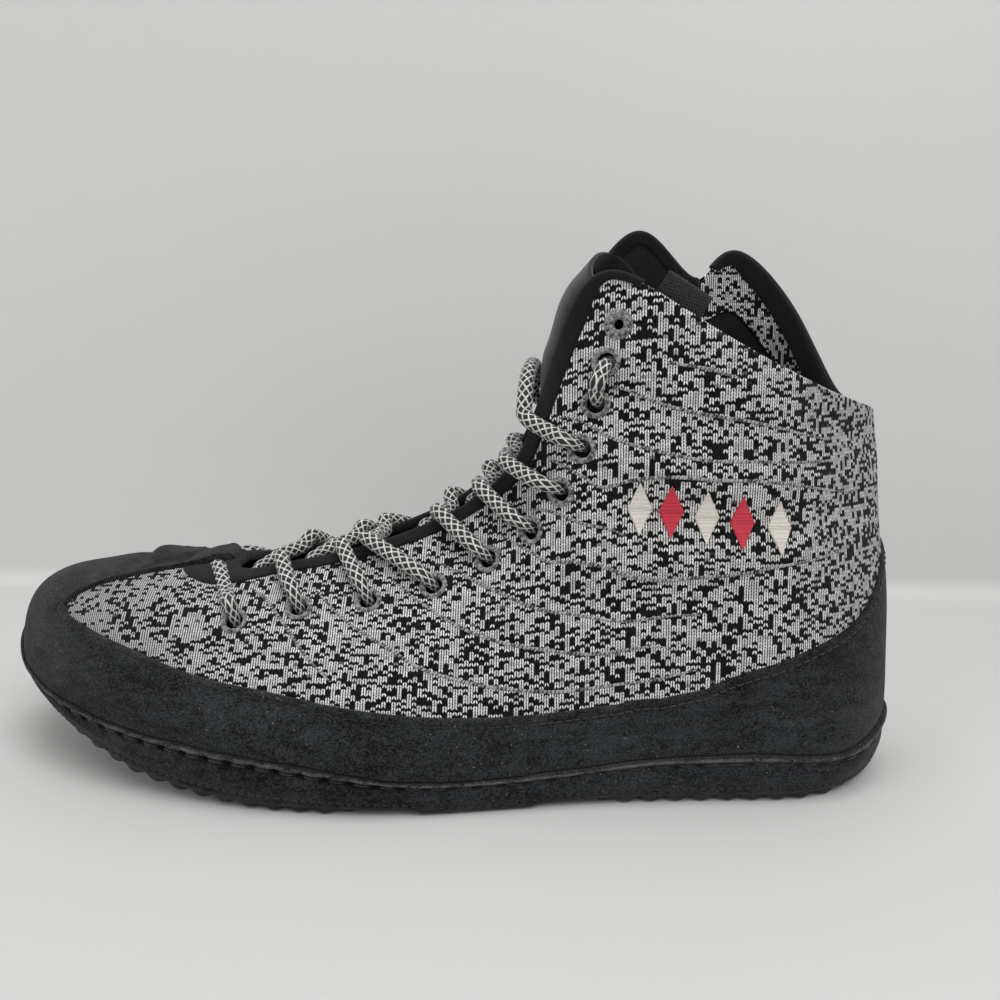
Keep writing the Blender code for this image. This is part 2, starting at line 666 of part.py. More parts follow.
def strand(start, end, start_under):
    """Middle line of one strand between two eyelets, each given as a row and an inset. It clears
    the binding, the tongue and the rings. A strand that starts under the edge begins in the throat."""
    radius = LACE_DIAMETER / 2.0
    over = radius + EYELET_LIFT + EYELET_HEIGHT + 2.0 * GAP
    ride = radius + BINDING_THICKNESS + 5.0 * GAP
    walls = [near_edge(row, np.array([1.0, 0.55]) * inset, over) for row, inset in (start, end)]
    crests = [upper_surface(row, 1.0) + upper_normal(row, 1.0) * ride for row, inset in (start, end)]
    rows = [min(row, AROUND - row) for row in (start[0], end[0])]

    def across(share):
        row = rows[0] + (rows[1] - rows[0]) * share
        return over_throat(row, share if start[0] < HALF else 1.0 - share, ride, radius + 2.0 * GAP)

    last = [across(0.5), across(0.75), crests[1], walls[1][1], walls[1][0]]
    if start_under:
        return np.array([across(0.34)] + last)
    return np.array([walls[0][0], walls[0][1], crests[0], across(0.25)] + last)


def upright(low, high):
    """Middle line of a short strand outside the shaft, between two eyelets of one side."""
    over = LACE_DIAMETER / 2.0 + EYELET_LIFT + EYELET_HEIGHT + 2.0 * GAP
    places = np.array([low, (np.array(low) + np.array(high)) / 2.0, high])
    return near_edge(places[:, 0], places[:, 1], over)


def smooth(points):
    """Softened line through the points (Catmull-Rom), read at the points and halfway between them."""
    count = 2 * len(points) - 1
    ends = np.concatenate([[2 * points[0] - points[1]], points, [2 * points[-1] - points[-2]]])
    u = np.linspace(0.0, len(points) - 1 - 1e-9, count)
    k = u.astype(int)
    t = (u - k)[:, None]
    a, b, c, d = ends[k], ends[k + 1], ends[k + 2], ends[k + 3]
    square, cube = 2 * a - 5 * b + 4 * c - d, 3 * b - 3 * c + d - a
    return 0.5 * (2 * b + (c - a) * t + square * t ** 2 + cube * t ** 3)


def build_laces():
    radius = LACE_DIAMETER / 2.0
    lateral = [(row, inset * EYELET_INSET) for row, inset in EYELETS]
    medial = [(AROUND - row, inset) for row, inset in lateral]
    tube("lace_bar", smooth(strand(medial[0], lateral[0], False)), radius, CORD)
    for k in range(LACED_PAIRS - 1):
        name = f"lace_crossing_{k + 1:02d}"
        crossing = tube(name, smooth(strand(medial[k], lateral[k + 1], True)), radius, CORD)
        other = tube("strand", smooth(strand(lateral[k], medial[k + 1], True)), radius, CORD)
        cut(crossing, other, "UNION")
    low, high = OUTSIDE_PAIR
    for name, holes in (("lace_side_lateral", lateral), ("lace_side_medial", medial)):
        tube(name, upright(holes[low], holes[high]), radius, CORD)


def centre_on_floor():
    """Move every object so that the whole stands on Z = 0, centred in X and Y."""
    objects = list(bpy.context.scene.collection.objects)
    corners = []
    for obj in objects:
        points = np.empty(len(obj.data.vertices) * 3)
        obj.data.vertices.foreach_get("co", points)
        points = points.reshape(-1, 3)
        corners += [points.min(0), points.max(0)]
    low, high = np.min(corners, 0), np.max(corners, 0)
    for obj in objects:
        obj.location = (-(low[0] + high[0]) / 2.0, -(low[1] + high[1]) / 2.0, -low[2])


def main():
    clear_scene()
    build_upper()
    build_mudguard()
    build_counter()
    build_midsole()
    build_pod("outsole_forefoot", *PODS[0], 0.010)
    build_pod("outsole_heel", *PODS[1], 0.008)
    build_insole()
    build_tongue()
    build_throat_binding()
    build_collar_binding()
    build_pull_tab()
    build_eyelets()
    build_laces()
    centre_on_floor()


main()
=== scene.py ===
"""Looks of a left wrestling shoe with a knit upper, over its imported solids.

Metres. The toe points to -X, the outer side faces -Y, towards the camera, and the floor is Z = 0.
Every soft piece is worked out from one function, surface, which reads the shoe's rows: a row runs
from the sole's lip (share 0) up to the opening (share 1) at one place around the foot. Row 0 is the
tip of the toe, the rows up to HALF go along the outer side to the heel, and the rest come back
along the inner side.
"""

import bmesh
import bpy
import numpy as np
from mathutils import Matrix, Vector


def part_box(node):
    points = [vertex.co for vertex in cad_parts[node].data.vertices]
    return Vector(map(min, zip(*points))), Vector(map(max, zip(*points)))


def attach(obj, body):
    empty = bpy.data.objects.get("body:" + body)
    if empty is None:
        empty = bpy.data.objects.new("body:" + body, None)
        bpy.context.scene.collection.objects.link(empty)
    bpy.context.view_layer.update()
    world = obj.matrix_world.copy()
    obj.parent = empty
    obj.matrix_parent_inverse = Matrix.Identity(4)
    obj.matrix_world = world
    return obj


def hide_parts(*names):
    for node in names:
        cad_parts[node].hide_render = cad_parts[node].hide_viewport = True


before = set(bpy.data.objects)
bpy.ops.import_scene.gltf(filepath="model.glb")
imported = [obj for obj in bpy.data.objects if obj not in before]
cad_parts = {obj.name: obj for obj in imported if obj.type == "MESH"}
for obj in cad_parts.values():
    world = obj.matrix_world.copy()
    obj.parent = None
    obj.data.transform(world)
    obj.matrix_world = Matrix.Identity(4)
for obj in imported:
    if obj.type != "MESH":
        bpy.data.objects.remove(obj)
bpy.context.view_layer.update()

# Main sizes, as in the solids
LENGTH = 0.298
BALL_WIDTH = 0.104
SHAFT_HEIGHT = 0.154
TOE_SPRING = 0.026
LIP_HEIGHT = 0.0155
SPRING_START = 0.36
WALL = 0.0024
GAP = 0.0003
SUEDE_THICKNESS = 0.0012
MM = 0.001

FOOT_ROWS = np.array([
    # along  outer  inner    lip   o_lean i_lean o_rise i_rise
    (0.003,  0.140,  0.140,  0.88, -0.005, -0.005, 0.130, 0.130),  # toe tip
    (0.030, -0.095,  0.300,  0.72, -0.005, 0.000, 0.150, 0.130),  # toe corner
    (0.118, -0.305,  0.415,  0.85, 0.010, 0.010, 0.170, 0.150),  # toe side
    (0.243, -0.435,  0.478,  1.08, 0.030, 0.020, 0.120, 0.120),  # ball front
    (0.351, -0.487,  0.480,  1.05, 0.030, 0.020, 0.120, 0.120),  # ball
    (0.452, -0.490,  0.425,  0.76, 0.020, 0.010, 0.140, 0.140),  # ball rear
    (0.540, -0.452,  0.360,  0.69, 0.010, 0.000, 0.170, 0.170),  # waist
    (0.608, -0.415,  0.322,  0.74, 0.000, 0.000, 0.200, 0.200),  # instep
    (0.659, -0.392,  0.308,  0.84, 0.000, 0.000, 0.230, 0.230),  # shaft front
    (0.700, -0.377,  0.305,  0.92, 0.000, 0.000, 0.250, 0.250),  # top corner
    (0.740, -0.366,  0.306,  0.97, 0.000, 0.000, 0.250, 0.250),  # collar front
    (0.790, -0.355,  0.310,  1.00, 0.000, 0.000, 0.250, 0.250),  # collar
    (0.851, -0.340,  0.310,  0.98, 0.010, 0.010, 0.240, 0.240),  # collar rear
    (0.912, -0.286,  0.272,  0.93, 0.012, 0.012, 0.230, 0.230),  # heel side
    (0.957, -0.155,  0.150,  1.20, 0.016, 0.016, 0.220, 0.220),  # heel corner
    (0.972,  0.000,  0.000,  1.36, 0.010, 0.010, 0.220, 0.220),  # heel
])
OPENING_ROWS = np.array([
    # o_along o_across o_high  i_along i_across i_high  o_bulge i_bulge o_drop i_drop
    (0.266,  0.005,  0.418,  0.266,  0.005,  0.418,  0.47, 0.47, 0.004, 0.004),
    (0.267, -0.055,  0.416,  0.270,  0.062,  0.418,  0.41, 0.38, 0.018, 0.026),
    (0.279, -0.098,  0.411,  0.288,  0.108,  0.416,  0.31, 0.28, 0.060, 0.050),
    (0.324, -0.104,  0.423,  0.338,  0.112,  0.430,  0.24, 0.23, 0.085, 0.080),
    (0.388, -0.104,  0.449,  0.396,  0.112,  0.455,  0.20, 0.20, 0.090, 0.090),
    (0.455, -0.106,  0.489,  0.460,  0.112,  0.495,  0.17, 0.17, 0.100, 0.100),
    (0.522, -0.116,  0.553,  0.525,  0.118,  0.563,  0.15, 0.15, 0.115, 0.115),
    (0.580, -0.160,  0.665,  0.583,  0.145,  0.682,  0.11, 0.11, 0.140, 0.140),
    (0.613, -0.205,  0.855,  0.623,  0.172,  0.890,  0.06, 0.06, 0.200, 0.200),
    (0.650, -0.240,  1.000,  0.678,  0.190,  1.070,  0.03, 0.03, 0.250, 0.250),
    (0.700, -0.285,  0.985,  0.722,  0.215,  1.085,  0.01, 0.01, 0.260, 0.260),
    (0.757, -0.315,  0.917,  0.770,  0.250,  1.005,  0.00, 0.00, 0.260, 0.260),
    (0.825, -0.298,  0.844,  0.815,  0.275,  1.060,  0.00, 0.00, 0.240, 0.240),
    (0.893, -0.205,  0.785,  0.882,  0.205,  0.920,  0.01, 0.01, 0.230, 0.230),
    (0.932, -0.095,  0.758,  0.920,  0.105,  0.770,  0.03, 0.03, 0.220, 0.220),
    (0.945,  0.000,  0.746,  0.945,  0.000,  0.746,  0.03, 0.03, 0.220, 0.220),
])
HALF = len(FOOT_ROWS) - 1
AROUND = 2 * HALF

# Top edge of the suede: row, share of the way up the profile
GUARD_TOP = np.array([
    # row   share
    (0.00, 0.996),
    (0.55, 0.993),
    (0.68, 0.975),
    (0.74, 0.920),
    (0.77, 0.810),
    (0.80, 0.745),
    (0.92, 0.632),
    (1.00, 0.511),
    (1.08, 0.452),
    (1.17, 0.414),
    (1.35, 0.394),
    (1.70, 0.394),
    (2.35, 0.398),
    (2.92, 0.381),
    (3.60, 0.356),
    (4.30, 0.305),
    (4.96, 0.276),
    (5.64, 0.241),
    (6.32, 0.208),
    (6.70, 0.195),
])
COUNTER_TOP = np.array([
    # row   share
    (6.70, 0.195),
    (7.50, 0.168),
    (8.50, 0.146),
    (9.60, 0.146),
    (10.60, 0.168),
    (11.90, 0.252),
    (12.68, 0.328),
    (13.18, 0.375),
    (13.62, 0.430),
    (14.17, 0.516),
    (15.00, 0.585),
])
SIDE_SEAM = 6.70

# Eyelets from the toe up: row of the opening, distance inside its edge in metres
EYELETS = np.array([
    (2.30, 0.0234), (3.36, 0.0200), (4.38, 0.0204), (5.26, 0.0210), (6.04, 0.0200), (6.60, 0.0200),
    (7.03, 0.0190), (7.44, 0.0178), (7.84, 0.0160), (8.24, 0.0144), (8.76, 0.0132),
])

# Raised knit lines as (row, share) from front to back on the outer side, mirrored on the inner one
KNIT_LINES = [
    [(2.69, 0.882), (3.10, 0.802), (3.57, 0.664), (4.04, 0.496), (4.37, 0.396)],
    [(3.79, 0.817), (4.35, 0.652), (4.97, 0.511), (5.47, 0.406), (6.41, 0.293), (7.69, 0.213),
     (9.24, 0.185), (10.44, 0.213)],
    [(4.89, 0.792), (5.36, 0.652), (5.96, 0.511), (6.84, 0.386), (8.23, 0.271), (9.91, 0.258)],
    [(5.56, 0.802), (5.92, 0.712), (6.27, 0.629), (7.24, 0.451), (8.78, 0.318), (10.58, 0.338)],
    [(6.52, 0.782), (6.99, 0.657), (7.58, 0.539), (9.21, 0.398), (10.93, 0.436), (12.13, 0.511),
     (13.11, 0.589)],
    [(7.07, 0.774), (7.84, 0.617), (8.38, 0.534), (9.13, 0.476)],
    [(7.64, 0.794), (8.31, 0.649), (9.04, 0.574), (10.78, 0.644), (12.15, 0.714), (13.48, 0.749)],
    [(8.01, 0.827), (8.78, 0.697), (9.48, 0.652), (10.75, 0.684), (12.00, 0.759), (13.25, 0.845)],
    [(9.23, 0.757), (10.09, 0.762), (10.78, 0.787), (11.76, 0.837), (12.81, 0.870)],
    [(10.33, 0.860), (10.81, 0.890), (11.10, 0.907), (11.45, 0.920)],
]

# Soft folds: width and height in metres (a trough is negative), then (row, share) along the fold
FOLDS = [
    # the centre strip of the toe
    (0.0030, -0.0020, [(-0.90, 0.62), (-0.35, 0.69), (0.00, 0.735), (0.60, 0.75)]),
    (0.0044, 0.0026, [(-1.00, 0.68), (-0.35, 0.76), (0.00, 0.79), (0.50, 0.815)]),
    (0.0024, -0.0030, [(-1.10, 0.85), (-0.35, 0.875), (0.00, 0.87), (0.65, 0.860)]),
    # ball, where the foot bends
    (0.0060, -0.0010, [(2.60, 0.62), (3.30, 0.50), (3.90, 0.36), (4.20, 0.22)]),
    (0.0050, 0.0007, [(2.95, 0.72), (3.60, 0.57), (4.20, 0.42)]),
    (0.0050, -0.0008, [(3.70, 0.70), (4.40, 0.53), (4.95, 0.38)]),
    # ankle, slack cloth that runs back from the eyelets to the heel
    (0.0060, -0.0013, [(8.60, 0.78), (9.80, 0.72), (11.2, 0.77), (12.6, 0.84)]),
    (0.0060, 0.0010, [(8.40, 0.66), (9.60, 0.62), (11.0, 0.66), (12.8, 0.76)]),
    (0.0065, -0.0013, [(7.70, 0.62), (9.00, 0.53), (10.8, 0.55), (12.6, 0.66), (14.0, 0.74)]),
    (0.0060, 0.0009, [(7.30, 0.60), (8.60, 0.45), (10.6, 0.46), (12.4, 0.56), (13.6, 0.66)]),
    (0.0060, -0.0010, [(6.90, 0.52), (8.40, 0.36), (10.4, 0.37), (12.0, 0.46)]),
    (0.0055, -0.0009, [(12.6, 0.93), (13.6, 0.90), (14.6, 0.88)]),
    # suede: the guard's soft dents, and the counter's
    (0.0080, -0.0009, [(0.70, 0.20), (1.30, 0.26), (2.00, 0.20)]),
    (0.0080, 0.0007, [(0.60, 0.42), (1.00, 0.36), (1.80, 0.30)]),
    (0.0090, -0.0007, [(3.00, 0.18), (4.20, 0.14), (5.40, 0.10)]),
    (0.0100, -0.0008, [(11.0, 0.12), (12.6, 0.20), (13.8, 0.28)]),
]


# Shape of the shoe

def closed_spline(rows, s):
    """Periodic cubic spline through the rows, read at row numbers s."""
    count = len(rows)
    here = np.arange(count)
    system = 4.0 * np.eye(count)
    system[here, (here + 1) % count] = 1.0
    system[here, (here - 1) % count] = 1.0
    bend = np.linalg.solve(system, 6.0 * (np.roll(rows, -1, 0) - 2.0 * rows + np.roll(rows, 1, 0)))
    first = np.floor(s).astype(int)
    b = (s - first)[..., None]
    a = 1.0 - b
    first, second = first % count, (first + 1) % count
    cubes = (a ** 3 - a) * bend[first] + (b ** 3 - b) * bend[second]
    return a * rows[first] + b * rows[second] + cubes / 6.0


def unit(vectors):
    return vectors / np.linalg.norm(vectors, axis=-1, keepdims=True)


def bezier(a, b, c, d, t):
    """Cubic Bezier curve from a to d."""
    u = 1.0 - t
    return u ** 3 * a + 3.0 * u ** 2 * t * b + 3.0 * u * t ** 2 * c + t ** 3 * d


def travel(path):
    """Length along a path up to each of its points."""
    return np.concatenate([[0.0], np.cumsum(np.linalg.norm(np.diff(path, axis=0), axis=1))])


def read_at(places, way, values):
    """Vectors read off at places along a way."""
    return np.stack([np.interp(places, way, values[:, k]) for k in range(3)], 1)


def circle(count, a, b, axis=0):
    """Points round a circle in the plane of a and b, a by the cosine and b by the sine, along a new
    axis."""
    angle = np.linspace(0.0, 2.0 * np.pi, count, endpoint=False)
    angle = angle.reshape((-1,) + (1,) * (a.ndim - axis))
    return np.cos(angle) * np.expand_dims(a, axis) + np.sin(angle) * np.expand_dims(b, axis)


def mirrored(row, inner):
    """A row of the outer side, or its like on the inner side."""
    return AROUND - row if inner else row


def spring(x):
    """Rise of the floor line: a parabola from SPRING_START of the length forward to the toe's tip."""
    return TOE_SPRING * np.clip(1.0 - x / (SPRING_START * LENGTH), 0.0, None) ** 2


def side_rows(along, across, lip, lean, rise, edge, bulge, drop):
    """Rows of one side in metres: foot point, opening point, lean, rise, bulge, drop."""
    x = along * LENGTH
    foot = np.stack([x, across * BALL_WIDTH, spring(x) + lip * LIP_HEIGHT], 1)
    steer = [lean * BALL_WIDTH, rise * SHAFT_HEIGHT, bulge * BALL_WIDTH, drop * SHAFT_HEIGHT]
    edge = edge * np.array([LENGTH, BALL_WIDTH, SHAFT_HEIGHT])
    return np.concatenate([foot, edge, np.stack(steer, 1)], 1)


def all_rows():
    """The outer rows from toe to heel, then the inner rows back to the toe."""
    along, outer, inner, lip, o_lean, i_lean, o_rise, i_rise = FOOT_ROWS.T
    o_bulge, i_bulge, o_drop, i_drop = OPENING_ROWS[:, 6:].T
    out = side_rows(along, outer, lip, o_lean, o_rise, OPENING_ROWS[:, 0:3], o_bulge, o_drop)
    ins = side_rows(along, inner, lip, i_lean, i_rise, OPENING_ROWS[:, 3:6], i_bulge, i_drop)
    return np.concatenate([out, ins[-2:0:-1]])


ROWS = all_rows()


def outward(s):
    """Level direction away from the foot, square to the lip line."""
    run = unit(closed_spline(ROWS, s + 0.05)[..., :2] - closed_spline(ROWS, s - 0.05)[..., :2])
    return np.stack([run[..., 1], -run[..., 0], np.zeros(run.shape[:-1])], -1)


def surface(s, t):
    """Outside of the upper: in each row a cubic Bezier curve climbs from the lip (t = 0) to the
    opening (t = 1), leaving by lean and rise and arriving from bulge and drop."""
    s, t = np.broadcast_arrays(s, t)
    row = closed_spline(ROWS, s)
    foot, edge = row[..., 0:3], row[..., 3:6]
    lean, rise, bulge, drop = (row[..., k, None] for k in range(6, 10))
    out, up = outward(s), np.array([0.0, 0.0, 1.0])
    low, high = foot + out * lean + up * rise, edge + out * bulge - up * drop
    return bezier(foot, low, high, edge, t[..., None])


def slopes(s, t):
    """The surface's two directions: per row number and per share."""
    return ((surface(s + 0.02, t) - surface(s - 0.02, t)) / 0.04,
            (surface(s, t + 0.01) - surface(s, t - 0.01)) / 0.02)


def normal(s, t):
    return unit(np.cross(*slopes(s, t)))


def soft_line(stops, count):
    """Points evenly spread along a smooth line (Catmull-Rom) through the stops."""
    stops = np.asarray(stops, float)
    ends = np.concatenate([[2 * stops[0] - stops[1]], stops, [2 * stops[-1] - stops[-2]]])
    u = np.linspace(0.0, len(stops) - 1 - 1e-9, count)
    k = u.astype(int)
    t = (u - k)[:, None]
    a, b, c, d = ends[k], ends[k + 1], ends[k + 2], ends[k + 3]
    square, cube = 2 * a - 5 * b + 4 * c - d, 3 * b - 3 * c + d - a
    return 0.5 * (2 * b + (c - a) * t + square * t ** 2 + cube * t ** 3)


def fold_lines():
    """Each fold as its width, its height and points in space, on the outer side and mirrored."""
    lines = []
    for width, height, stops in FOLDS:
        path = soft_line(stops, 14)
        lines.append((width, height, surface(path[:, 0], path[:, 1])))
        if path[0, 0] > 0.0:
            lines.append((width, 0.8 * height, surface(AROUND - path[:, 0], path[:, 1] + 0.02)))
    return lines


FOLD_LINES = fold_lines()


def relief(points):
    """Height of the folds at points of the surface: a bell curve across each fold's line, faded in
    and out along it by a sine, plus three slow waves that keep the cloth from looking turned."""
    x, y, z = points[..., 0], points[..., 1], points[..., 2]
    waves = np.sin(190 * x + 90 * z + 1.0) + np.sin(140 * z - 110 * x + 60 * y)
    height = np.array(0.00013 * (waves + np.sin(330 * x - 120 * z + 2.0)))
    for width, depth, line in FOLD_LINES:
        near = np.min(np.linalg.norm(points[..., None, :] - line[::3], axis=-1), -1) < 6.0 * width
        if not near.any():
            continue
        spot = points[near][:, None, :]
        a, b = line[:-1], line[1:]
        share = np.clip(np.sum((spot - a) * (b - a), -1) / np.sum((b - a) ** 2, -1), 0.0, 1.0)
        gap = np.linalg.norm(spot - a - share[..., None] * (b - a), axis=-1)
        closest = gap.argmin(1)
        pick = np.arange(len(closest))
        along = (closest + share[pick, closest]) / len(a)
        fade = np.sin(np.pi * along) ** 0.7
        height[near] += depth * np.exp(-(gap[pick, closest] / width) ** 2) * fade
    return height


def skin(s, t, lift=0.0):
    """The surface with its folds, moved out along its normal by lift."""
    s, t, lift = np.broadcast_arrays(s, t, lift)
    base = surface(s, t)
    return base + normal(s, t) * (lift + relief(base))[..., None]


EDGE_STEPS = 6


def inside_edge(s, distance):
    """Row numbers and shares a distance inside the opening's edge, by straight steps over the
    surface that start square to the edge."""
    s, distance = np.broadcast_arrays(s, distance)
    t = np.ones(s.shape)
    stride = (distance / EDGE_STEPS)[..., None]
    heading = None
    for _ in range(EDGE_STEPS):
        along, climb = slopes(s, t)
        up = unit(np.cross(along, climb))
        if heading is None:
            heading = np.cross(along, up)
        heading = unit(heading - up * np.sum(heading * up, -1, keepdims=True))
        s, t = step_over(s, t, along, climb, heading * stride)
    return s, t


def step_over(s, t, along, climb, move):
    """Row number and share after a move in the surface's plane."""
    aa, bb, ab = (np.sum(p * q, -1) for p, q in ((along, along), (climb, climb), (along, climb)))
    ma, mb = np.sum(move * along, -1), np.sum(move * climb, -1)
    whole = aa * bb - ab ** 2
    return s + (ma * bb - mb * ab) / whole, t + (mb * aa - ma * ab) / whole


def near_edge(s, distance, lift):
    """Point a distance inside the opening's edge, lifted off the surface."""
    return skin(*inside_edge(s, distance), lift)


def own_place():
    """How far the solids lie from the rows' own frame, from the upper's box."""
    points = surface(np.linspace(0.0, AROUND, 601)[:, None], np.linspace(0.0, 1.0, 41))
    points = points.reshape(-1, 3)
    low, high = (np.array(corner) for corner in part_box("upper"))
    x = low[0] - points[:, 0].min()
    y = (low[1] + high[1] - points[:, 1].min() - points[:, 1].max()) / 2.0
    return np.array([x, y, 0.0])


PLACE = own_place()


# Meshes

def solid(sections, wrap=False, uv=None):
    """Quads of a closed solid carried through sections of equal count, each a closed loop of an
    even number of points. The ends are closed by strips across the loop, unless the sections wrap.
    Returns points, quads and the corners' uv."""
    rows, count = sections.shape[:2]
    if uv is None:
        uv = np.zeros((rows + 1, count + 1, 2))
    i, j = np.meshgrid(np.arange(rows if wrap else rows - 1), np.arange(count), indexing="ij")
    i, j = i.ravel(), j.ravel()
    i2, j2 = (i + 1) % rows, (j + 1) % count
    quads = np.stack([i * count + j, i2 * count + j, i2 * count + j2, i * count + j2], 1)
    corners = np.stack([uv[i, j], uv[i + 1, j], uv[i + 1, j + 1], uv[i, j + 1]], 1)
    if not wrap:
        k = np.arange(count // 2 - 1)
        strip = np.stack([k, k + 1, count - 2 - k, count - 1 - k], 1)
        quads = np.concatenate([quads, strip, (rows - 1) * count + strip[:, ::-1]])
        corners = np.concatenate([corners, uv[0][strip], uv[rows - 1][strip[:, ::-1]]])
    return sections.reshape(-1, 3), quads, corners


def grid(u, v):
    """Uv for solid: u goes with the sections and v around them, or the other way round."""
    return np.stack(np.broadcast_arrays(u, v), -1)


def closed(rows):
    """A grid with its first column again at the end."""
    return np.concatenate([rows, rows[:, :1]], 1)


def joined(parts):
    """Several solids as one."""
    shifts = np.cumsum([0] + [len(points) for points, _, _ in parts])
    points, quads, corners = zip(*parts)
    quads = [faces + shift for faces, shift in zip(quads, shifts)]
    return np.concatenate(points), np.concatenate(quads), np.concatenate(corners)


def link(name, data):
    """A new object in the scene."""
    thing = bpy.data.objects.new(name, data)
    bpy.context.scene.collection.objects.link(thing)
    return thing


def make(name, parts, finish, stands_for=()):
    """A piece of the shoe from its points, quads and corner uv, with its faces turned outwards."""
    points, quads, corners = parts
    mesh = bpy.data.meshes.new(name)
    mesh.vertices.add(len(points))
    mesh.vertices.foreach_set("co", (points + PLACE).astype(np.float32).ravel())
    mesh.loops.add(quads.size)
    mesh.loops.foreach_set("vertex_index", quads.astype(np.int32).ravel())
    mesh.polygons.add(len(quads))
    mesh.polygons.foreach_set("loop_start", np.arange(0, quads.size, 4, dtype=np.int32))
    mesh.polygons.foreach_set("use_smooth", np.ones(len(quads), bool))
    mesh.update(calc_edges=True)
    layer = mesh.uv_layers.new(name="threads")
    layer.uv.foreach_set("vector", corners.astype(np.float32).ravel())
    shape = bmesh.new()
    shape.from_mesh(mesh)
    bmesh.ops.recalc_face_normals(shape, faces=shape.faces)
    shape.to_mesh(mesh)
    shape.free()
    mesh.materials.append(finish)
    piece = link(name, mesh)
    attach(piece, "root")
    if stands_for:
        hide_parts(*stands_for)
    return piece


def named(*starts):
    """The solids' nodes whose names begin with one of the words."""
    return [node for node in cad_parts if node.startswith(starts)]


# Finishes

class Finish:
    """A Principled material and short calls that add nodes to it."""

    def __init__(self, name, roughness, sheen=0.0, specular=0.4):
        self.material = bpy.data.materials.new(name)
        self.material.use_nodes = True
        self.tree = self.material.node_tree
        self.shader = self.tree.nodes["Principled BSDF"]
        self.shader.inputs["Roughness"].default_value = roughness
        self.shader.inputs["Specular IOR Level"].default_value = specular
        self.shader.inputs["Sheen Weight"].default_value = sheen
        self.shader.inputs["Sheen Roughness"].default_value = 0.45

    def add(self, kind, values=None, **settings):
        """A node, with its settings, and its inputs set or linked by name or number."""
        node = self.tree.nodes.new(kind)
        for key, value in settings.items():
            setattr(node, key, value)
        for key, value in (values or {}).items():
            if isinstance(value, bpy.types.NodeSocket):
                self.tree.links.new(value, node.inputs[key])
            else:
                node.inputs[key].default_value = value
        return node

    def math(self, operation, *values):
        return self.add("ShaderNodeMath", dict(enumerate(values)), operation=operation).outputs[0]

    def times(self, value, *others):
        """Product of values."""
        for other in others:
            value = self.math("MULTIPLY", value, other)
        return value

    def plus(self, value, *others):
        """A value plus others, each given with its share."""
        for other, share in others:
            value = self.math("MULTIPLY_ADD", other, share, value)
        return value

    def tent(self, value):
        """Distance of the value's fraction from a half."""
        return self.math("ABSOLUTE", self.math("SUBTRACT", self.math("FRACT", value), 0.5))

    def rib(self, value):
        """Size of the value's sine."""
        return self.math("ABSOLUTE", self.math("SINE", value))

    def step(self, value, low, high, start=0.0, end=1.0):
        """Smooth step from start to end as the value goes from low to high."""
        values = {"Value": value, "From Min": low, "From Max": high, "To Min": start, "To Max": end}
        return self.add("ShaderNodeMapRange", values, interpolation_type="SMOOTHSTEP").outputs[0]

    def mix(self, share, dark, light):
        """Colour between two, by share."""
        values = {0: share, 6: dark, 7: light}
        return self.add("ShaderNodeMix", values, data_type="RGBA").outputs[2]

    def spot(self, scale=(1.0, 1.0, 1.0)):
        """Object coordinates, stretched."""
        place = self.add("ShaderNodeTexCoord").outputs["Object"]
        return self.add("ShaderNodeMapping", {"Vector": place, "Scale": scale}).outputs[0]

    def noise(self, vector, scale, detail=2.0, roughness=0.5):
        values = {"Vector": vector, "Scale": scale, "Detail": detail, "Roughness": roughness}
        return self.add("ShaderNodeTexNoise", values).outputs["Fac"]

    def chance(self, vector):
        """One number for each vector, without any pattern."""
        return self.add("ShaderNodeTexWhiteNoise", {"Vector": vector}).outputs["Value"]

    def split(self, vector):
        return tuple(self.add("ShaderNodeSeparateXYZ", {0: vector}).outputs)

    def threads(self):
        """The piece's own uv as two numbers."""
        return self.split(self.add("ShaderNodeUVMap", uv_map="threads").outputs[0])[:2]

    def place(self):
        """Object coordinates as three numbers."""
        return self.split(self.add("ShaderNodeTexCoord").outputs["Object"])

    def vector(self, x, y, z=0.0):
        return self.add("ShaderNodeCombineXYZ", {0: x, 1: y, 2: z}).outputs[0]

    def close(self, colour, height=None, distance=0.0003, strength=1.0):
        """Links the colour and a bump of that height to the shader."""
        self.tree.links.new(colour, self.shader.inputs["Base Color"])
        if height is not None:
            values = {"Height": height, "Distance": distance, "Strength": strength}
            bump = self.add("ShaderNodeBump", values)
            self.tree.links.new(bump.outputs[0], self.shader.inputs["Normal"])
        return self.material


def grey(value, warmth=0.0):
    return (value * (1.0 + warmth), value, value * (1.0 - warmth), 1.0)


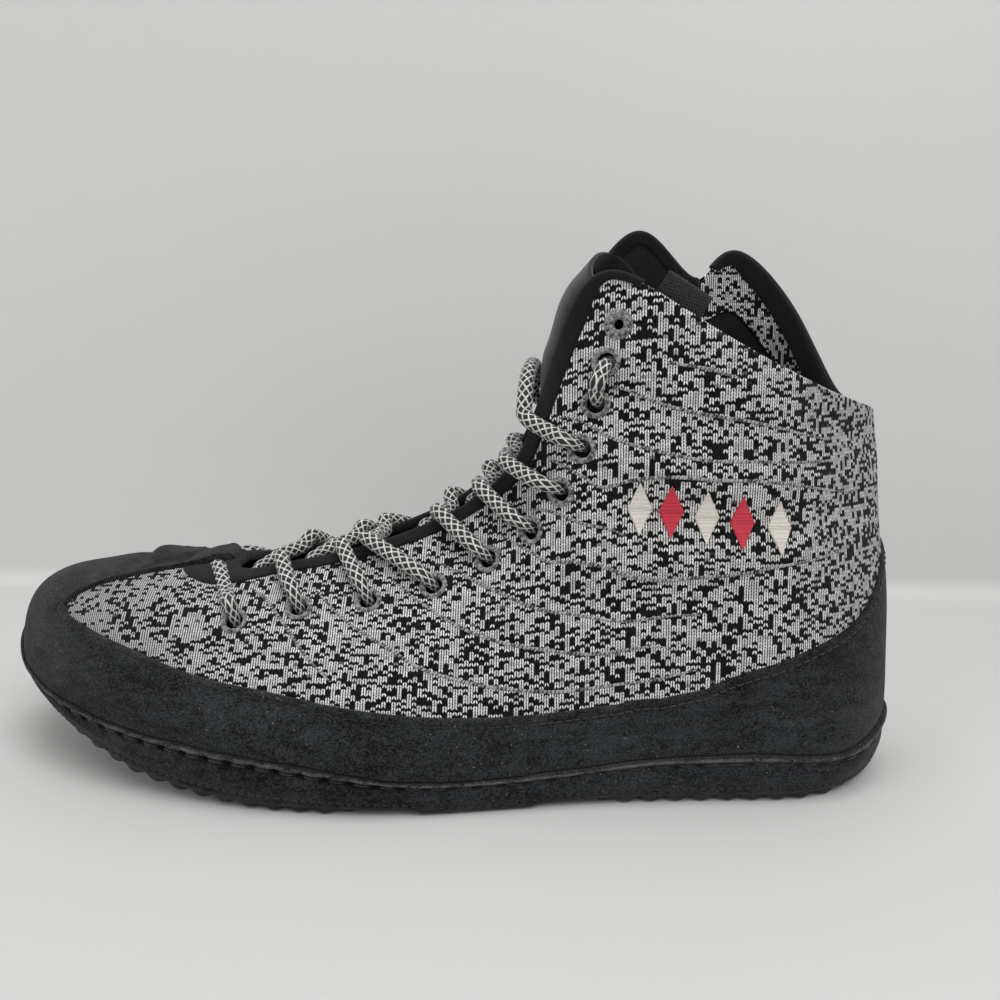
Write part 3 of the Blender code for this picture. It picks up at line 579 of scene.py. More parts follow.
def knit_finish():
    """Knit in stitches, a column wide and a course high in uv. Each stitch is two legs that meet at
    its top. Its yarn is pale or black by its cell: noise stretched along the columns gives upright
    runs, noise stretched across gives bars. At the toe there is more pale yarn, of a duller grey."""
    f = Finish("heathered_knit", 0.90, sheen=0.05, specular=0.12)
    u, v = f.threads()
    side = f.tent(u)
    climb = f.plus(v, (side, 1.5))
    column, course = f.math("FLOOR", u), f.math("FLOOR", climb)
    x, y = f.place()[:2]
    inner = f.times(f.math("GREATER_THAN", y, 0.0), 37.0)

    def cells(across, along, deep):
        return f.vector(f.times(column, across), f.times(course, along), f.math("ADD", inner, deep))

    runs = f.noise(cells(1.00, 0.40, 0.3), 1.0, 1.0)
    bars = f.noise(cells(0.40, 1.00, 9.1), 1.0, 1.0)
    patches = f.noise(cells(0.10, 0.06, 4.7), 1.0, 0.0)
    chance = f.chance(cells(1.0, 1.0, 0.5))
    toe = f.step(x, -0.035, -0.110)
    tone = f.plus(f.times(bars, 0.50), (runs, 0.35), (chance, 0.24), (patches, 0.08), (toe, 0.03))

    leg = f.times(f.math("ABSOLUTE", f.math("SUBTRACT", side, 0.25)), 4.0)
    leg = f.math("SUBTRACT", 1.0, f.math("POWER", leg, 2.0))
    loop = f.math("SINE", f.times(f.math("FRACT", climb), np.pi))
    loop = f.math("MULTIPLY_ADD", f.math("POWER", f.math("MAXIMUM", loop, 0.0), 0.6), 0.55, 0.45)
    height = f.times(f.math("MAXIMUM", leg, 0.0), loop)
    twist = f.chance(cells(1.0, 1.0, 20.5))
    pale = f.mix(twist, grey(0.54, 0.005), grey(0.86, 0.005))
    pale = f.mix(f.times(toe, 0.75), pale, grey(0.40, 0.005))
    yarn = f.mix(f.step(tone, 0.560, 0.566), f.mix(twist, grey(0.005), grey(0.016)), pale)
    # Painted shade between the yarn legs: the yarn's colour is multiplied down to 0.03 where the
    # stitch sinks.
    gap = f.step(height, 0.28, 0.78, 0.03, 1.0)
    colour = f.add("ShaderNodeMix", {0: 1.0, 6: yarn, 7: f.vector(gap, gap, gap)},
                   data_type="RGBA", blend_type="MULTIPLY").outputs[2]
    return f.close(colour, f.plus(height, (f.noise(f.spot(), 2600.0), 0.25)), 0.00035, 0.9)


def suede_finish(name, base, dust, worn_lip_and_painted_light=False):
    """Short nap: streaky fine grain over brushed patches, with a few pale lint specks. The sole's one
    takes stitches and depth from its uv: it is paler along the lip, partly wear from rubbing and
    partly a painted highlight on the lip's crest, and below the lip it has painted shade, a dark
    spot in the pit at each stitch, which fades towards the heel."""
    f = Finish(name, 0.95, sheen=0.10, specular=0.10)
    spot = f.spot()
    streaks = f.noise(f.spot((0.75, 1.0, 1.1)), 1750.0, 3.0, 0.8)
    grain = f.noise(spot, 2400.0, 2.0, 0.65)
    brushed = f.noise(f.spot((1.0, 1.0, 2.2)), 120.0, 4.0, 0.65)
    broad = f.noise(spot, 24.0)
    tone = f.plus(streaks, (brushed, 0.40), (broad, 0.30), (grain, 0.30))
    nap = f.mix(f.step(tone, 0.84, 1.20), grey(base * 0.12, -0.05), grey(base * 2.4, -0.07))
    lint = f.times(f.step(f.noise(spot, 1500.0, 1.0), 0.72, 0.79), f.step(broad, 0.42, 0.62), dust)
    colour = f.mix(lint, nap, grey(0.30))
    if worn_lip_and_painted_light:
        stitch, depth = f.threads()
        # The lip's pale band: partly wear from rubbing, partly a painted highlight along the lip's
        # crest.
        lip = f.times(f.step(depth, 0.015, 0.05), f.step(depth, 0.115, 0.085))
        rubbed_and_highlit = f.step(f.math("ADD", brushed, streaks), 0.78, 1.22)
        colour = f.mix(f.times(lip, rubbed_and_highlit), colour, grey(0.110, -0.02))
        # Painted shade: a near-black spot in each stitch's pit below the lip, fading towards the heel.
        near = f.step(f.tent(f.math("ADD", stitch, 0.5)), 0.26, 0.10)
        below = f.times(f.step(depth, 0.11, 0.15), f.step(depth, 0.30, 0.22))
        front = f.step(f.place()[0], 0.010, -0.040, 0.10, 0.85)
        colour = f.mix(f.times(near, below, front), colour, grey(0.003))
    return f.close(colour, f.plus(streaks, (brushed, 0.8)), 0.00035, 0.9)


def tape_finish(name, light):
    """Black twill: fine diagonal ribs in uv."""
    f = Finish(name, 0.88, sheen=0.10, specular=0.15)
    u, v = f.threads()
    rib = f.math("SINE", f.times(f.plus(u, (v, 0.9)), 2.0 * np.pi))
    cross = f.math("SINE", f.times(f.plus(v, (u, -0.25)), 2.0 * np.pi))
    height = f.plus(f.times(cross, 0.3), (rib, 0.5))
    fuzz = f.noise(f.spot(), 2100.0, 3.0, 0.6)
    # The rib height in the tone is painted shade in the twill's grooves and painted highlight on its
    # ribs.
    tone = f.plus(fuzz, (height, 0.25))
    colour = f.mix(f.step(tone, 0.25, 0.95), grey(0.2 * light), grey(light, -0.02))
    return f.close(colour, f.plus(height, (fuzz, 0.8)), 0.00022, 0.8)


def lining_finish():
    """Dull black knit lining with faint ribs."""
    f = Finish("black_lining", 0.92, sheen=0.25, specular=0.15)
    spot = f.spot()
    tone = f.plus(f.noise(spot, 1500.0, 3.0, 0.6), (f.noise(spot, 60.0, 3.0), 0.6))
    colour = f.mix(f.step(tone, 0.5, 1.1), grey(0.003), grey(0.014, -0.02))
    return f.close(colour, tone, 0.0003, 0.7)


def rubber_finish():
    """Matt moulded rubber with fine pits and a little pale dust."""
    f = Finish("matt_black_rubber", 0.62, specular=0.35)
    spot = f.spot()
    fine = f.noise(spot, 1800.0, 3.0, 0.6)
    tone = f.plus(f.noise(spot, 45.0, 4.0, 0.6), (fine, 0.5))
    colour = f.mix(f.step(tone, 0.60, 1.00), grey(0.010), grey(0.042, 0.02))
    return f.close(colour, fine, 0.00012, 0.6)


def thread_finish(name, dark, light):
    """Embroidery thread: fine ribs along uv's first direction, with small changes of tone."""
    f = Finish(name, 0.55, sheen=0.2, specular=0.45)
    u, v = f.threads()
    rib, strand = f.rib(f.times(v, np.pi)), f.math("FLOOR", v)
    slub = f.noise(f.vector(f.times(u, 0.6), strand), 1.0)
    # The rib in the tone is painted shading: lighter on each strand's crown, darker between strands.
    tone = f.plus(f.times(slub, 0.4), (f.chance(f.vector(strand, 3.0)), 0.35), (rib, 0.45))
    return f.close(f.mix(f.step(tone, 0.20, 1.0), dark, light), rib, 0.00015, 0.8)


def fuzzy_finish():
    """Worn overcast stitches of grey yarn: ribs by uv under a fuzz that mixes pale and dark."""
    f = Finish("grey_ring_yarn", 0.90, sheen=0.2, specular=0.2)
    turn = f.times(f.threads()[1], 0.5)
    rib = f.rib(f.times(turn, np.pi))
    strand = f.chance(f.vector(f.math("FLOOR", turn), 3.0))
    fuzz = f.noise(f.spot(), 1000.0, 4.0, 0.75)
    # The rib in the tone is a little painted shading: lighter on each turn's crown, darker between
    # turns.
    tone = f.plus(fuzz, (strand, 0.12), (rib, 0.06))
    colour = f.mix(f.step(tone, 0.44, 0.74), grey(0.030), grey(0.36))
    return f.close(colour, f.plus(fuzz, (rib, 0.12)), 0.0006, 1.0)


def braid_finish():
    """Round braid: pale strands cross in two families and leave black diamonds between them. In uv,
    u is the length in diamonds and v goes once around."""
    f = Finish("lace_braid", 0.70, sheen=0.15, specular=0.30)
    u, v = f.threads()
    around = f.times(v, 6.0)
    families = [f.tent(f.math(operation, around, u)) for operation in ("ADD", "SUBTRACT")]
    nearest = f.math("MAXIMUM", *families)
    pale = f.step(nearest, 0.350, 0.395)
    twist = f.noise(f.vector(f.times(u, 3.0), f.times(around, 3.0)), 1.3)
    black = f.mix(twist, grey(0.006), grey(0.030))
    white = f.mix(f.step(twist, 0.3, 0.7), grey(0.38, 0.02), grey(0.72, 0.03))
    hump = f.plus(f.math("SUBTRACT", 0.5, nearest), (pale, 0.5), (f.noise(f.spot(), 2600.0), 0.3))
    return f.close(f.mix(pale, black, white), hump, 0.0004, 0.9)


def line_finish():
    """Loops of mixed yarn along the raised lines: pale and dark by turns of about a millimetre."""
    f = Finish("raised_line_yarn", 0.85, sheen=0.15, specular=0.25)
    u, v = f.threads()
    loop = f.rib(f.plus(f.times(u, 2.6), (v, 1.2)))
    mixed = f.chance(f.vector(f.math("FLOOR", f.times(u, 0.83)), 2.0))
    slub = f.noise(f.spot(), 900.0, 3.0, 0.7)
    # The loop in the tone is painted shading, lighter on each loop's crown; mixed yarn and slubs give
    # the rest.
    tone = f.plus(f.times(slub, 0.9), (mixed, 0.35), (loop, 0.30))
    return f.close(f.mix(f.step(tone, 0.55, 1.05), grey(0.020), grey(0.36)), loop, 0.0002, 0.8)


KNIT = knit_finish()
SUEDE = suede_finish("charcoal_suede", 0.018, 0.8)
SOLE_SUEDE = suede_finish("sole_suede", 0.017, 1.0, worn_lip_and_painted_light=True)
TAPE = tape_finish("black_twill_tape", 0.013)
WEBBING = tape_finish("dusty_black_webbing", 0.050)
LINING = lining_finish()
RUBBER = rubber_finish()
BRAID = braid_finish()
RING_THREAD = fuzzy_finish()
LINE_YARN = line_finish()
DARK_THREAD = thread_finish("black_seam_thread", grey(0.003), grey(0.010))
CREAM_THREAD = thread_finish("cream_thread", (0.42, 0.39, 0.33, 1.0), (0.80, 0.77, 0.69, 1.0))
RED_THREAD = thread_finish("red_thread", (0.32, 0.006, 0.018, 1.0), (0.66, 0.020, 0.055, 1.0))


# Knit upper and lining

COLUMN = 1.48 * MM
COURSE = 0.92 * MM
KNIT_THICKNESS = 1.10 * MM
HOLE_RADIUS = 2.85 * MM
HOLE_DEPTH = 4.0 * MM
SEATED = 0.02 * MM  # how far a piece laid on the cloth stands off it underneath
LINE_WIDTH = 0.52 * MM  # half of a raised line's width
LINE_HEIGHT = 0.20 * MM
# Where the knit stops counting across the top of the foot, and where it starts around the heel:
# x, length of the change, half width there
SHAFT_KNIT = (0.150, 0.065, 0.052)
HEEL_KNIT = (0.235, 0.040, 0.036)


def stitch_uv(points):
    """Stitch columns and courses at points. The columns count along the shoe and on around the heel,
    the courses count upwards and on across the sloping top of the foot."""
    x, y, z = points[..., 0], np.abs(points[..., 1]), points[..., 2]
    shares = []
    for start, length, _ in (SHAFT_KNIT, HEEL_KNIT):
        share = np.clip((x - start) / length, 0.0, 1.0)
        shares.append(share ** 2 * (3.0 - 2.0 * share))
    shaft, heel = shares
    u = x + 0.8 * heel * (HEEL_KNIT[2] - y)
    v = z + 0.5 * (1.0 - shaft) * (SHAFT_KNIT[2] - y)
    return grid(u / COLUMN, v / COURSE)


def wall_sections(rows, shares, outer, inner, roll):
    """Closed loops through a cloth wall: up its outer face, over a rolled edge at the opening, and
    down its inner face. roll is how far the edge stands above the opening."""
    up = skin(rows[:, None], shares, outer)
    down = skin(rows[:, None], shares[::-1], inner)
    rise = unit(up[:, -1:] - up[:, -2:-1]) * roll
    over = [up[:, -1:] * (1.0 - share) + down[:, :1] * share + rise * high
            for share, high in ((0.25, 0.8), (0.5, 1.0), (0.75, 0.8))]
    foot = (up[:, :1] + down[:, -1:]) / 2.0
    return np.concatenate([up, *over, down, foot], 1)


def punch(piece):
    """Cuts the eyelets' holes through a piece."""
    parts = []
    for centre, out, climb in zip(*EYELET_FRAMES):
        ring = centre + HOLE_RADIUS * circle(16, np.cross(out, climb), climb)
        parts.append(solid(np.stack([ring + out * HOLE_DEPTH, ring - out * HOLE_DEPTH])))
    cutter = make("cutter", joined(parts), DARK_THREAD)
    hole = piece.modifiers.new("holes", "BOOLEAN")
    hole.operation, hole.solver, hole.object = "DIFFERENCE", "MANIFOLD", cutter
    view = bpy.context.evaluated_depsgraph_get()
    mesh = bpy.data.meshes.new_from_object(piece.evaluated_get(view))
    piece.modifiers.clear()
    piece.data = mesh
    bpy.data.objects.remove(cutter)


def eyelet_frames():
    """Centre, outward normal and upward direction of each eyelet, outer side first."""
    edge = np.concatenate([EYELETS[:, 0], AROUND - EYELETS[:, 0]])
    rows, shares = inside_edge(edge, np.tile(EYELETS[:, 1], 2))
    climb = unit(skin(rows, shares + 0.01) - skin(rows, shares - 0.01))
    out = normal(rows, shares)
    return skin(rows, shares), out, unit(climb - out * np.sum(climb * out, -1, keepdims=True))


EYELET_FRAMES = eyelet_frames()


def build_knit():
    """The knit wall, with the holes of the eyelets cut through."""
    rows = np.linspace(0.0, AROUND, 460, endpoint=False)
    sections = wall_sections(rows, np.linspace(0.0, 1.0, 66), 0.0, -KNIT_THICKNESS, 0.0006)
    uv = stitch_uv(sections)
    uv = closed(np.concatenate([uv, uv[:1]]))
    punch(make("knit_upper", solid(sections, wrap=True, uv=uv), KNIT, ["upper"]))


def build_lining():
    """The lining fills the rest of the wall's thickness."""
    rows = np.linspace(0.0, AROUND, 300, endpoint=False)
    sections = wall_sections(rows, np.linspace(0.0, 0.995, 40), -0.00005 - KNIT_THICKNESS, -WALL,
                             0.0003)
    punch(make("lining", solid(sections, wrap=True), LINING))


def build_knit_lines():
    """Half-sunk cords along the knit's raised lines: a flat oval section, thinned to its ends by a
    sine to the power 0.3."""
    parts = []
    for stops in KNIT_LINES:
        for inner in (False, True):
            row, share = soft_line(stops, 8 * len(stops)).T
            row = mirrored(row, inner)
            centre, out = skin(row, share, SEATED), normal(row, share)
            across = unit(np.cross(out, np.gradient(centre, axis=0)))
            fade = np.sin(np.pi * np.linspace(0.02, 0.98, len(row)))[:, None] ** 0.3
            oval = circle(8, across * LINE_WIDTH * fade, out * LINE_HEIGHT * fade, 1)
            uv = grid(travel(centre)[:, None] / MM, np.linspace(0.0, 2.0, 9))
            parts.append(solid(centre[:, None] + oval, uv=uv))
    make("knit_lines", joined(parts), LINE_YARN)


# Suede

SUEDE_EDGE = np.array([
    # way down from the cut edge in mm, height in thicknesses
    (0.0, 0.05), (0.1, 0.50), (0.3, 0.85), (0.6, 1.12), (1.0, 1.28), (1.4, 1.30), (1.8, 1.22),
    (2.2, 1.04), (2.6, 0.80), (3.0, 0.78), (3.4, 0.92), (3.9, 1.00), (4.6, 1.00),
])
LUMP_SHARE = 0.945
LUMP_WIDTH = 0.045
LUMP_HEIGHT = 0.0021


def overlay_sections(rows, high, thickness, count):
    """Suede laid on the knit from the sole up to share high: it rises round its cut edge, swells
    over the turned seam, dips at the stitches and lies flat from there down. Over the first bar of
    the lace it is lifted by a bell curve across LUMP_SHARE that ends beside the toe's row."""
    climb = np.linalg.norm(slopes(rows, 0.5 * high)[1], axis=-1)
    top = high[:, None] - SUEDE_EDGE[:, 0] * MM / climb[:, None]
    flat = top[:, -1:] * (1.0 - np.linspace(0.0, 1.0, count)[1:])
    shares = np.concatenate([top, flat], 1)
    rows = np.broadcast_to(rows[:, None], shares.shape)
    lump = np.exp(-((shares - LUMP_SHARE) / LUMP_WIDTH) ** 2) * np.exp(-rows ** 4)
    lifts = thickness * np.concatenate([SUEDE_EDGE[:, 1], np.ones(count - 1)]) + LUMP_HEIGHT * lump
    lifts[:, -1] = 0.4 * thickness
    front = skin(rows, shares, lifts)
    back = skin(rows[:, ::-1], shares[:, ::-1], SEATED)
    return np.concatenate([front, back], 1)


def suede_top(table, rows):
    """Share of the suede's top edge by its table, alike on both sides."""
    side = np.abs((rows + HALF) % AROUND - HALF)
    return np.interp(side, table[:, 0], table[:, 1])


def build_suede():
    """Toe guard over the heel counter's front edges, both down to the sole."""
    toe, under = 1.35, 0.25
    rows = np.concatenate([np.linspace(-SIDE_SEAM, -toe, 130)[:-1], np.linspace(-toe, toe, 200)[:-1],
                           np.linspace(toe, SIDE_SEAM, 130)])
    guard = overlay_sections(rows, suede_top(GUARD_TOP, rows), SUEDE_THICKNESS, 60)
    make("toe_guard", solid(guard), SUEDE, ["toe_mudguard"])
    rows = np.linspace(SIDE_SEAM - under, AROUND - SIDE_SEAM + under, 300)
    high = suede_top(COUNTER_TOP, np.clip(rows, SIDE_SEAM, AROUND - SIDE_SEAM))
    counter = overlay_sections(rows, high, 0.6 * SUEDE_THICKNESS, 30)
    make("heel_suede", solid(counter), SUEDE, ["heel_counter"])


# Sole

SOLE_SIDE = np.array([
    # share of the way down, then stand-out in LIP_DEPTH at the sides and at the toe
    (0.00,  0.10,  0.10),
    (0.015, 0.70,  0.70),
    (0.04,  1.05,  1.05),
    (0.08,  1.10,  1.05),
    (0.11,  0.98,  0.92),
    (0.14,  0.66,  0.60),
    (0.17,  0.55,  0.45),
    (0.21,  0.56,  0.42),
    (0.26,  0.70,  0.44),
    (0.33,  0.86,  0.40),
    (0.43,  0.98,  0.22),
    (0.55,  1.02,  0.00),
    (0.65,  0.95, -0.28),
    (0.73,  0.82, -0.60),
    (0.77,  0.52, -0.92),
    (0.80,  0.50, -1.00),
    (0.84,  0.70, -1.15),
    (0.92,  0.48, -1.80),
    (1.00, -0.10, -2.60),
])
LIP_DEPTH = 0.0020
POD_THICKNESS = 0.0032
PODS = ((0.045, 0.455), (0.625, 0.958))  # forefoot and heel pod, shares of LENGTH
ARCH_DROP = 0.0026
ARCH_RAMP = 0.025
SKIRT = 0.0010  # how far the suede comes down over the pods' edges
HEEL_START = 0.86
HEEL_TUCK = 0.90
LUG_DEPTH = 0.0010
LUG_PITCH = 0.0075
SCALLOP = 0.0008
EDGE_TURN = 0.0008  # how far the pods' rims turn up
END_LENGTH = 0.06  # share of LENGTH over which the pods' ends are rounded
END_ROUND = 0.012


def sole_side(rows, depths):
    """Points of the sole's side, from its lip to its bottom edge, and the outward direction. The
    side tucks in under the toe and the heel, and comes down to the floor between the pods."""
    foot = closed_spline(ROWS, rows)[:, :3]
    out = outward(rows)
    along = foot[:, 0] / LENGTH
    toe = np.clip(1.0 - along / (0.5 * SPRING_START), 0.0, 1.0) ** 0.7
    heel = np.clip((along - HEEL_START) / (1.0 - HEEL_START), 0.0, 1.0)
    tuck = np.maximum(toe, HEEL_TUCK * heel)[:, None]
    side, front = (np.interp(depths, SOLE_SIDE[:, 0], SOLE_SIDE[:, k])[None, :] for k in (1, 2))
    stand = (side * (1.0 - tuck) + front * tuck) * LIP_DEPTH
    points = foot[:, None] + out[:, None] * stand[..., None]
    arch = np.clip(np.minimum(along - PODS[0][1], PODS[1][0] - along) / ARCH_RAMP - 0.3, 0.0, 1.0)
    bottom = (spring(foot[:, 0]) + POD_THICKNESS - np.maximum(ARCH_DROP * arch, SKIRT))[:, None]
    points[..., 2] = (foot[:, 2:3] - GAP) * (1.0 - depths) + bottom * depths
    return points, out


def perimeter(rows):
    """Length round the lip line up to each row, in metres."""
    return travel(closed_spline(ROWS, rows)[:, :3])


STITCH_PITCH = 0.0074
PIT = 0.0012  # depth of a stitch's pit and width of its bell curve


def build_sole():
    """Suede-wrapped body of the sole. Its lip waves a little. Below the lip every stitch draws a
    pit, the product of a bell curve along the shoe and one down the side. The cloth between two
    stitches puffs out by the cosine of the way through the pitch, most at the ball. Long soft
    creases run along the bulge: a sine of the depth that sways along the shoe."""
    count = 1040
    rows = (np.arange(count) + 0.5) * AROUND / count
    depths = np.concatenate([np.linspace(0.0, 0.34, 24)[:-1], np.linspace(0.34, 1.0, 24)])
    points, out = sole_side(rows, depths)
    way = perimeter(rows)[:, None]
    share = points[:, :1, 0] / LENGTH
    ball = np.clip(1.35 - np.abs(share - 0.28) / 0.24, 0.12, 1.0)
    phase = way / STITCH_PITCH
    wave = np.cos(2.0 * np.pi * phase)
    off = (phase - np.round(phase)) * STITCH_PITCH

    def bell(middle, width):
        return np.exp(-((depths - middle) / width) ** 2)

    lip, pit, below, bulge = bell(0.07, 0.05), bell(0.185, 0.065), bell(0.30, 0.13), bell(0.52, 0.20)
    pit = pit * np.exp(-(off / PIT) ** 2)
    puff = wave * (np.sin(way * 61.0 + 0.5) + 0.5)
    slow = np.sin(way * 133.0) + 0.7 * np.sin(way * 210.0 + 1.0)
    crease = np.sin(depths * 16.0 + 1.6 * np.sin(way * 48.0) + 0.8 * np.sin(way * 117.0))
    push = -PIT * pit * (0.12 + 0.88 * ball) - 0.00030 * puff * below * ball
    push = push + 0.00018 * slow * (lip + 0.6 * bulge)
    push = push + 0.00026 * crease * bulge * (0.25 + 0.75 * ball)
    points = points + out[:, None] * (push * np.minimum(depths / 0.03, 1.0))[..., None]
    points[..., 2] += (0.00022 * slow + 0.00025 * wave * ball) * lip
    sections = solid(points.transpose(1, 0, 2), uv=closed(grid(phase.T, depths[:, None])))
    make("sole_body", sections, SOLE_SUEDE, ["midsole"])


def sole_edges(x):
    """Outer and inner edge of the sole's bottom at x."""
    rows = np.linspace(0.0, AROUND, 901)
    bottom = sole_side(rows, np.array([1.0]))[0][:, 0]
    half = len(rows) // 2
    outer = np.interp(x, bottom[:half, 0], bottom[:half, 1])
    inner = np.interp(x, bottom[half:, 0][::-1], bottom[half:, 1][::-1])
    return outer, inner


def build_pods():
    """Rubber pods in rounded bars: along the shoe a bar's height is half of one minus the cosine of
    the way through its pitch, to the power 0.6. The pod's edge is scalloped by the same wave, and
    turns up towards its rim by a square."""
    for name, (start, end), chevron, node in (("forefoot_pod", PODS[0], 0.010, "outsole_forefoot"),
                                              ("heel_pod", PODS[1], 0.008, "outsole_heel")):
        bars = int(round((end - start) * LENGTH / LUG_PITCH))
        phase = np.linspace(0.0, bars, bars * 14 + 1)[:, None]
        across = np.linspace(-1.0, 1.0, 41)[None, :]
        way = phase / bars
        x = (start + (end - start) * way) * LENGTH
        lug = (0.5 - 0.5 * np.cos(2.0 * np.pi * phase)) ** 0.6
        x = x + chevron * (np.abs(across) - 1.0) * np.sin(np.pi * way)
        to_end = np.minimum(x - start * LENGTH, end * LENGTH - x) / (END_LENGTH * LENGTH)
        inset = SCALLOP * (1.0 - lug) + END_ROUND * np.clip(1.0 - to_end, 0.0, 1.0) ** 2
        outer, inner = sole_edges(x)
        outer, inner = outer + inset, inner - inset
        y = (outer + inner) / 2.0 + across * (inner - outer) / 2.0
        floor = spring(x)
        turned = np.clip((np.abs(across) - 0.86) / 0.14, 0.0, 1.0) ** 2
        top = np.stack([x, y * 0.985, floor + POD_THICKNESS + 0.0002], -1)
        bottom = np.stack([x, y, floor + LUG_DEPTH * (1.0 - lug) + EDGE_TURN * turned], -1)
        sections = np.concatenate([top, bottom[:, ::-1]], 1)
        make(name, solid(sections), RUBBER, [node])


def stitches(path, way, out, first, pitch, length, radius):
    """Stitches evenly spaced by way, the length along a path: six-sided rods with rounded ends,
    bowed along out."""
    starts = np.arange(first, way[-1] - length, pitch)
    share = np.array([0.0, 0.12, 0.5, 0.88, 1.0])[:, None]
    size = radius * np.array([0.35, 0.9, 1.0, 0.9, 0.35])[:, None, None]
    parts = []
    for a, b, up in zip(read_at(starts, way, path), read_at(starts + length, way, path),
                        unit(read_at(starts, way, out))):
        rod = a + (b - a) * share + up * 0.5 * radius * np.sin(np.pi * share)
        ring = circle(6, unit(np.cross(up, b - a)), up)
        uv = grid(share * np.linalg.norm(b - a) / (0.3 * MM), np.linspace(0.0, 3.0, 7))
        parts.append(solid(rod[:, None] + ring * size, uv=uv))
    return parts


SEAM_BELOW = 0.0028  # the suede's stitches lie this far below its cut edge
SUEDE_THREAD = (0.0026, 0.0019, 0.00022)  # pitch, length, radius
SOLE_THREADS = (
    # share of the way down, then pitch, length, radius
    (0.195, STITCH_PITCH, 0.0042, 0.00030),
    (0.785, 0.0027, 0.0018, 0.00026),
)


def build_stitches():
    """Seam threads: along the suede's top edges, beside the side seams and round the sole."""
    parts = []
    for low, high, table in ((-SIDE_SEAM + 0.1, -1.30, GUARD_TOP), (1.30, SIDE_SEAM - 0.1, GUARD_TOP),
                             (SIDE_SEAM + 0.06, AROUND - SIDE_SEAM - 0.06, COUNTER_TOP)):
        rows = np.linspace(low, high, 400)
        top = suede_top(table, rows)
        shares = top - SEAM_BELOW / np.linalg.norm(slopes(rows, top)[1], axis=-1)
        path = skin(rows, shares, 0.75 * SUEDE_THICKNESS)
        parts += stitches(path, travel(path), normal(rows, shares), 0.0, *SUEDE_THREAD)
    rows = np.linspace(0.0, AROUND, 1600)
    way = perimeter(rows)
    for depth, pitch, length, radius in SOLE_THREADS:
        points, out = sole_side(rows, np.array([depth]))
        path = points[:, 0] + out * 0.00005
        parts += stitches(path, way, out, 0.5 * (pitch - length), pitch, length, radius)
    make("seam_threads", joined(parts), DARK_THREAD)


# Tongue, tapes and tab

TAPE_RIB = 0.00055
TONGUE_DEPTH = WALL + 2.0 * GAP + 0.0008  # outside of the tongue, below the outside of the upper
TONGUE_THICKNESS = 0.0026
TONGUE_ROWS = (1.75, 8.95)
WRINKLE = 0.00035


def tongue_bow(rows):
    """How far the tongue stands off the line between the edges: sunk under the lace, padded out
    above it."""
    return np.interp(rows, [1.7, 2.6, 7.0, 7.9, 8.6, 9.0], [0.0, -1.4, -1.4, 4.2, 4.4, 2.5]) * MM


def tongue_sections(rows, depth):
    """Sections across the throat, depth inside the upper's outer face: along both walls to their
    edges, then over the throat on a Bezier curve moved by the bow."""
    reach = np.array([0.0140, 0.0084, 0.0032])
    left = near_edge(rows[:, None], reach, -depth)
    right = near_edge(AROUND - rows[:, None], reach, -depth)
    a, b = left[:, 2:3], right[:, 2:3]
    span = np.linalg.norm(b - a, axis=-1, keepdims=True)
    c = a + unit(a - left[:, 1:2]) * span * 0.2
    d = b + unit(b - right[:, 1:2]) * span * 0.2
    t = np.linspace(0.0, 1.0, 22)[1:-1, None]
    up = unit(normal(rows, 1.0) + normal(AROUND - rows, 1.0))[:, None]
    bow = up * (tongue_bow(rows)[:, None, None] * np.sin(np.pi * t) ** 0.7)
    bridge = bezier(a, c, d, b, t) + bow
    return np.concatenate([left, bridge, right[:, ::-1]], 1)


def build_tongue():
    """Padded tongue, crossed by slow wrinkles: a sine of the way up that sways across the tongue
    and fades to both sides by another sine."""
    rows = np.linspace(*TONGUE_ROWS, 150)
    outer = tongue_sections(rows, TONGUE_DEPTH)
    inner = tongue_sections(rows, TONGUE_DEPTH + TONGUE_THICKNESS)
    out = unit(outer - inner)
    across = np.linspace(0.0, 1.0, outer.shape[1])[None, :]
    wrinkle = WRINKLE * np.sin(rows[:, None] * 9.0 + 3.0 * across) * np.sin(np.pi * across)
    outer = outer + out * (wrinkle - GAP)[..., None]
    sections = np.concatenate([outer, inner[:, ::-1]], 1)
    make("tongue_cloth", solid(sections), LINING, ["tongue"])


def fold_sections(rows, outside, inside, thick):
    """Tape folded over the opening's edge: an outer leaf, a round fold and an inner leaf. outside
    and inside are the leaves' widths, and each loop of the tape is given by its lift off the cloth
    and by what shares of that its leaves keep, from their rims to the fold."""
    edge, out = skin(rows, 1.0), normal(rows, 1.0)
    rise = unit(np.cross(out, skin(rows + 0.02, 1.0) - skin(rows - 0.02, 1.0)))
    middle = edge - out * WALL / 2.0
    outside, inside = (np.broadcast_to(width, rows.shape)[:, None] for width in (outside, inside))

    def loop(lift, kept):
        kept = lift * np.array(kept)
        reach = outside * np.array([1.0, 0.97, 0.85, 0.68, 0.50, 0.34, 0.20, 0.08])
        face = near_edge(rows[:, None], reach, kept)
        angle = np.linspace(0.0, np.pi, 11)[1:-1, None]
        turn = np.cos(angle) * out[:, None] + np.sin(angle) * 0.8 * rise[:, None]
        reach = inside * np.array([0.08, 0.25, 0.45, 0.65, 0.85, 0.97, 1.0])
        back = near_edge(rows[:, None], reach, -WALL - kept[-2::-1])
        return np.concatenate([face, middle[:, None] + (WALL / 2.0 + lift) * turn, back], 1)

    front = loop(thick, [0.35, 0.80, 1.05, 1.08, 1.05, 1.02, 1.0, 1.0])
    back = loop(0.0001, [1.0] * 8)
    return np.concatenate([front, back[:, ::-1]], 1)


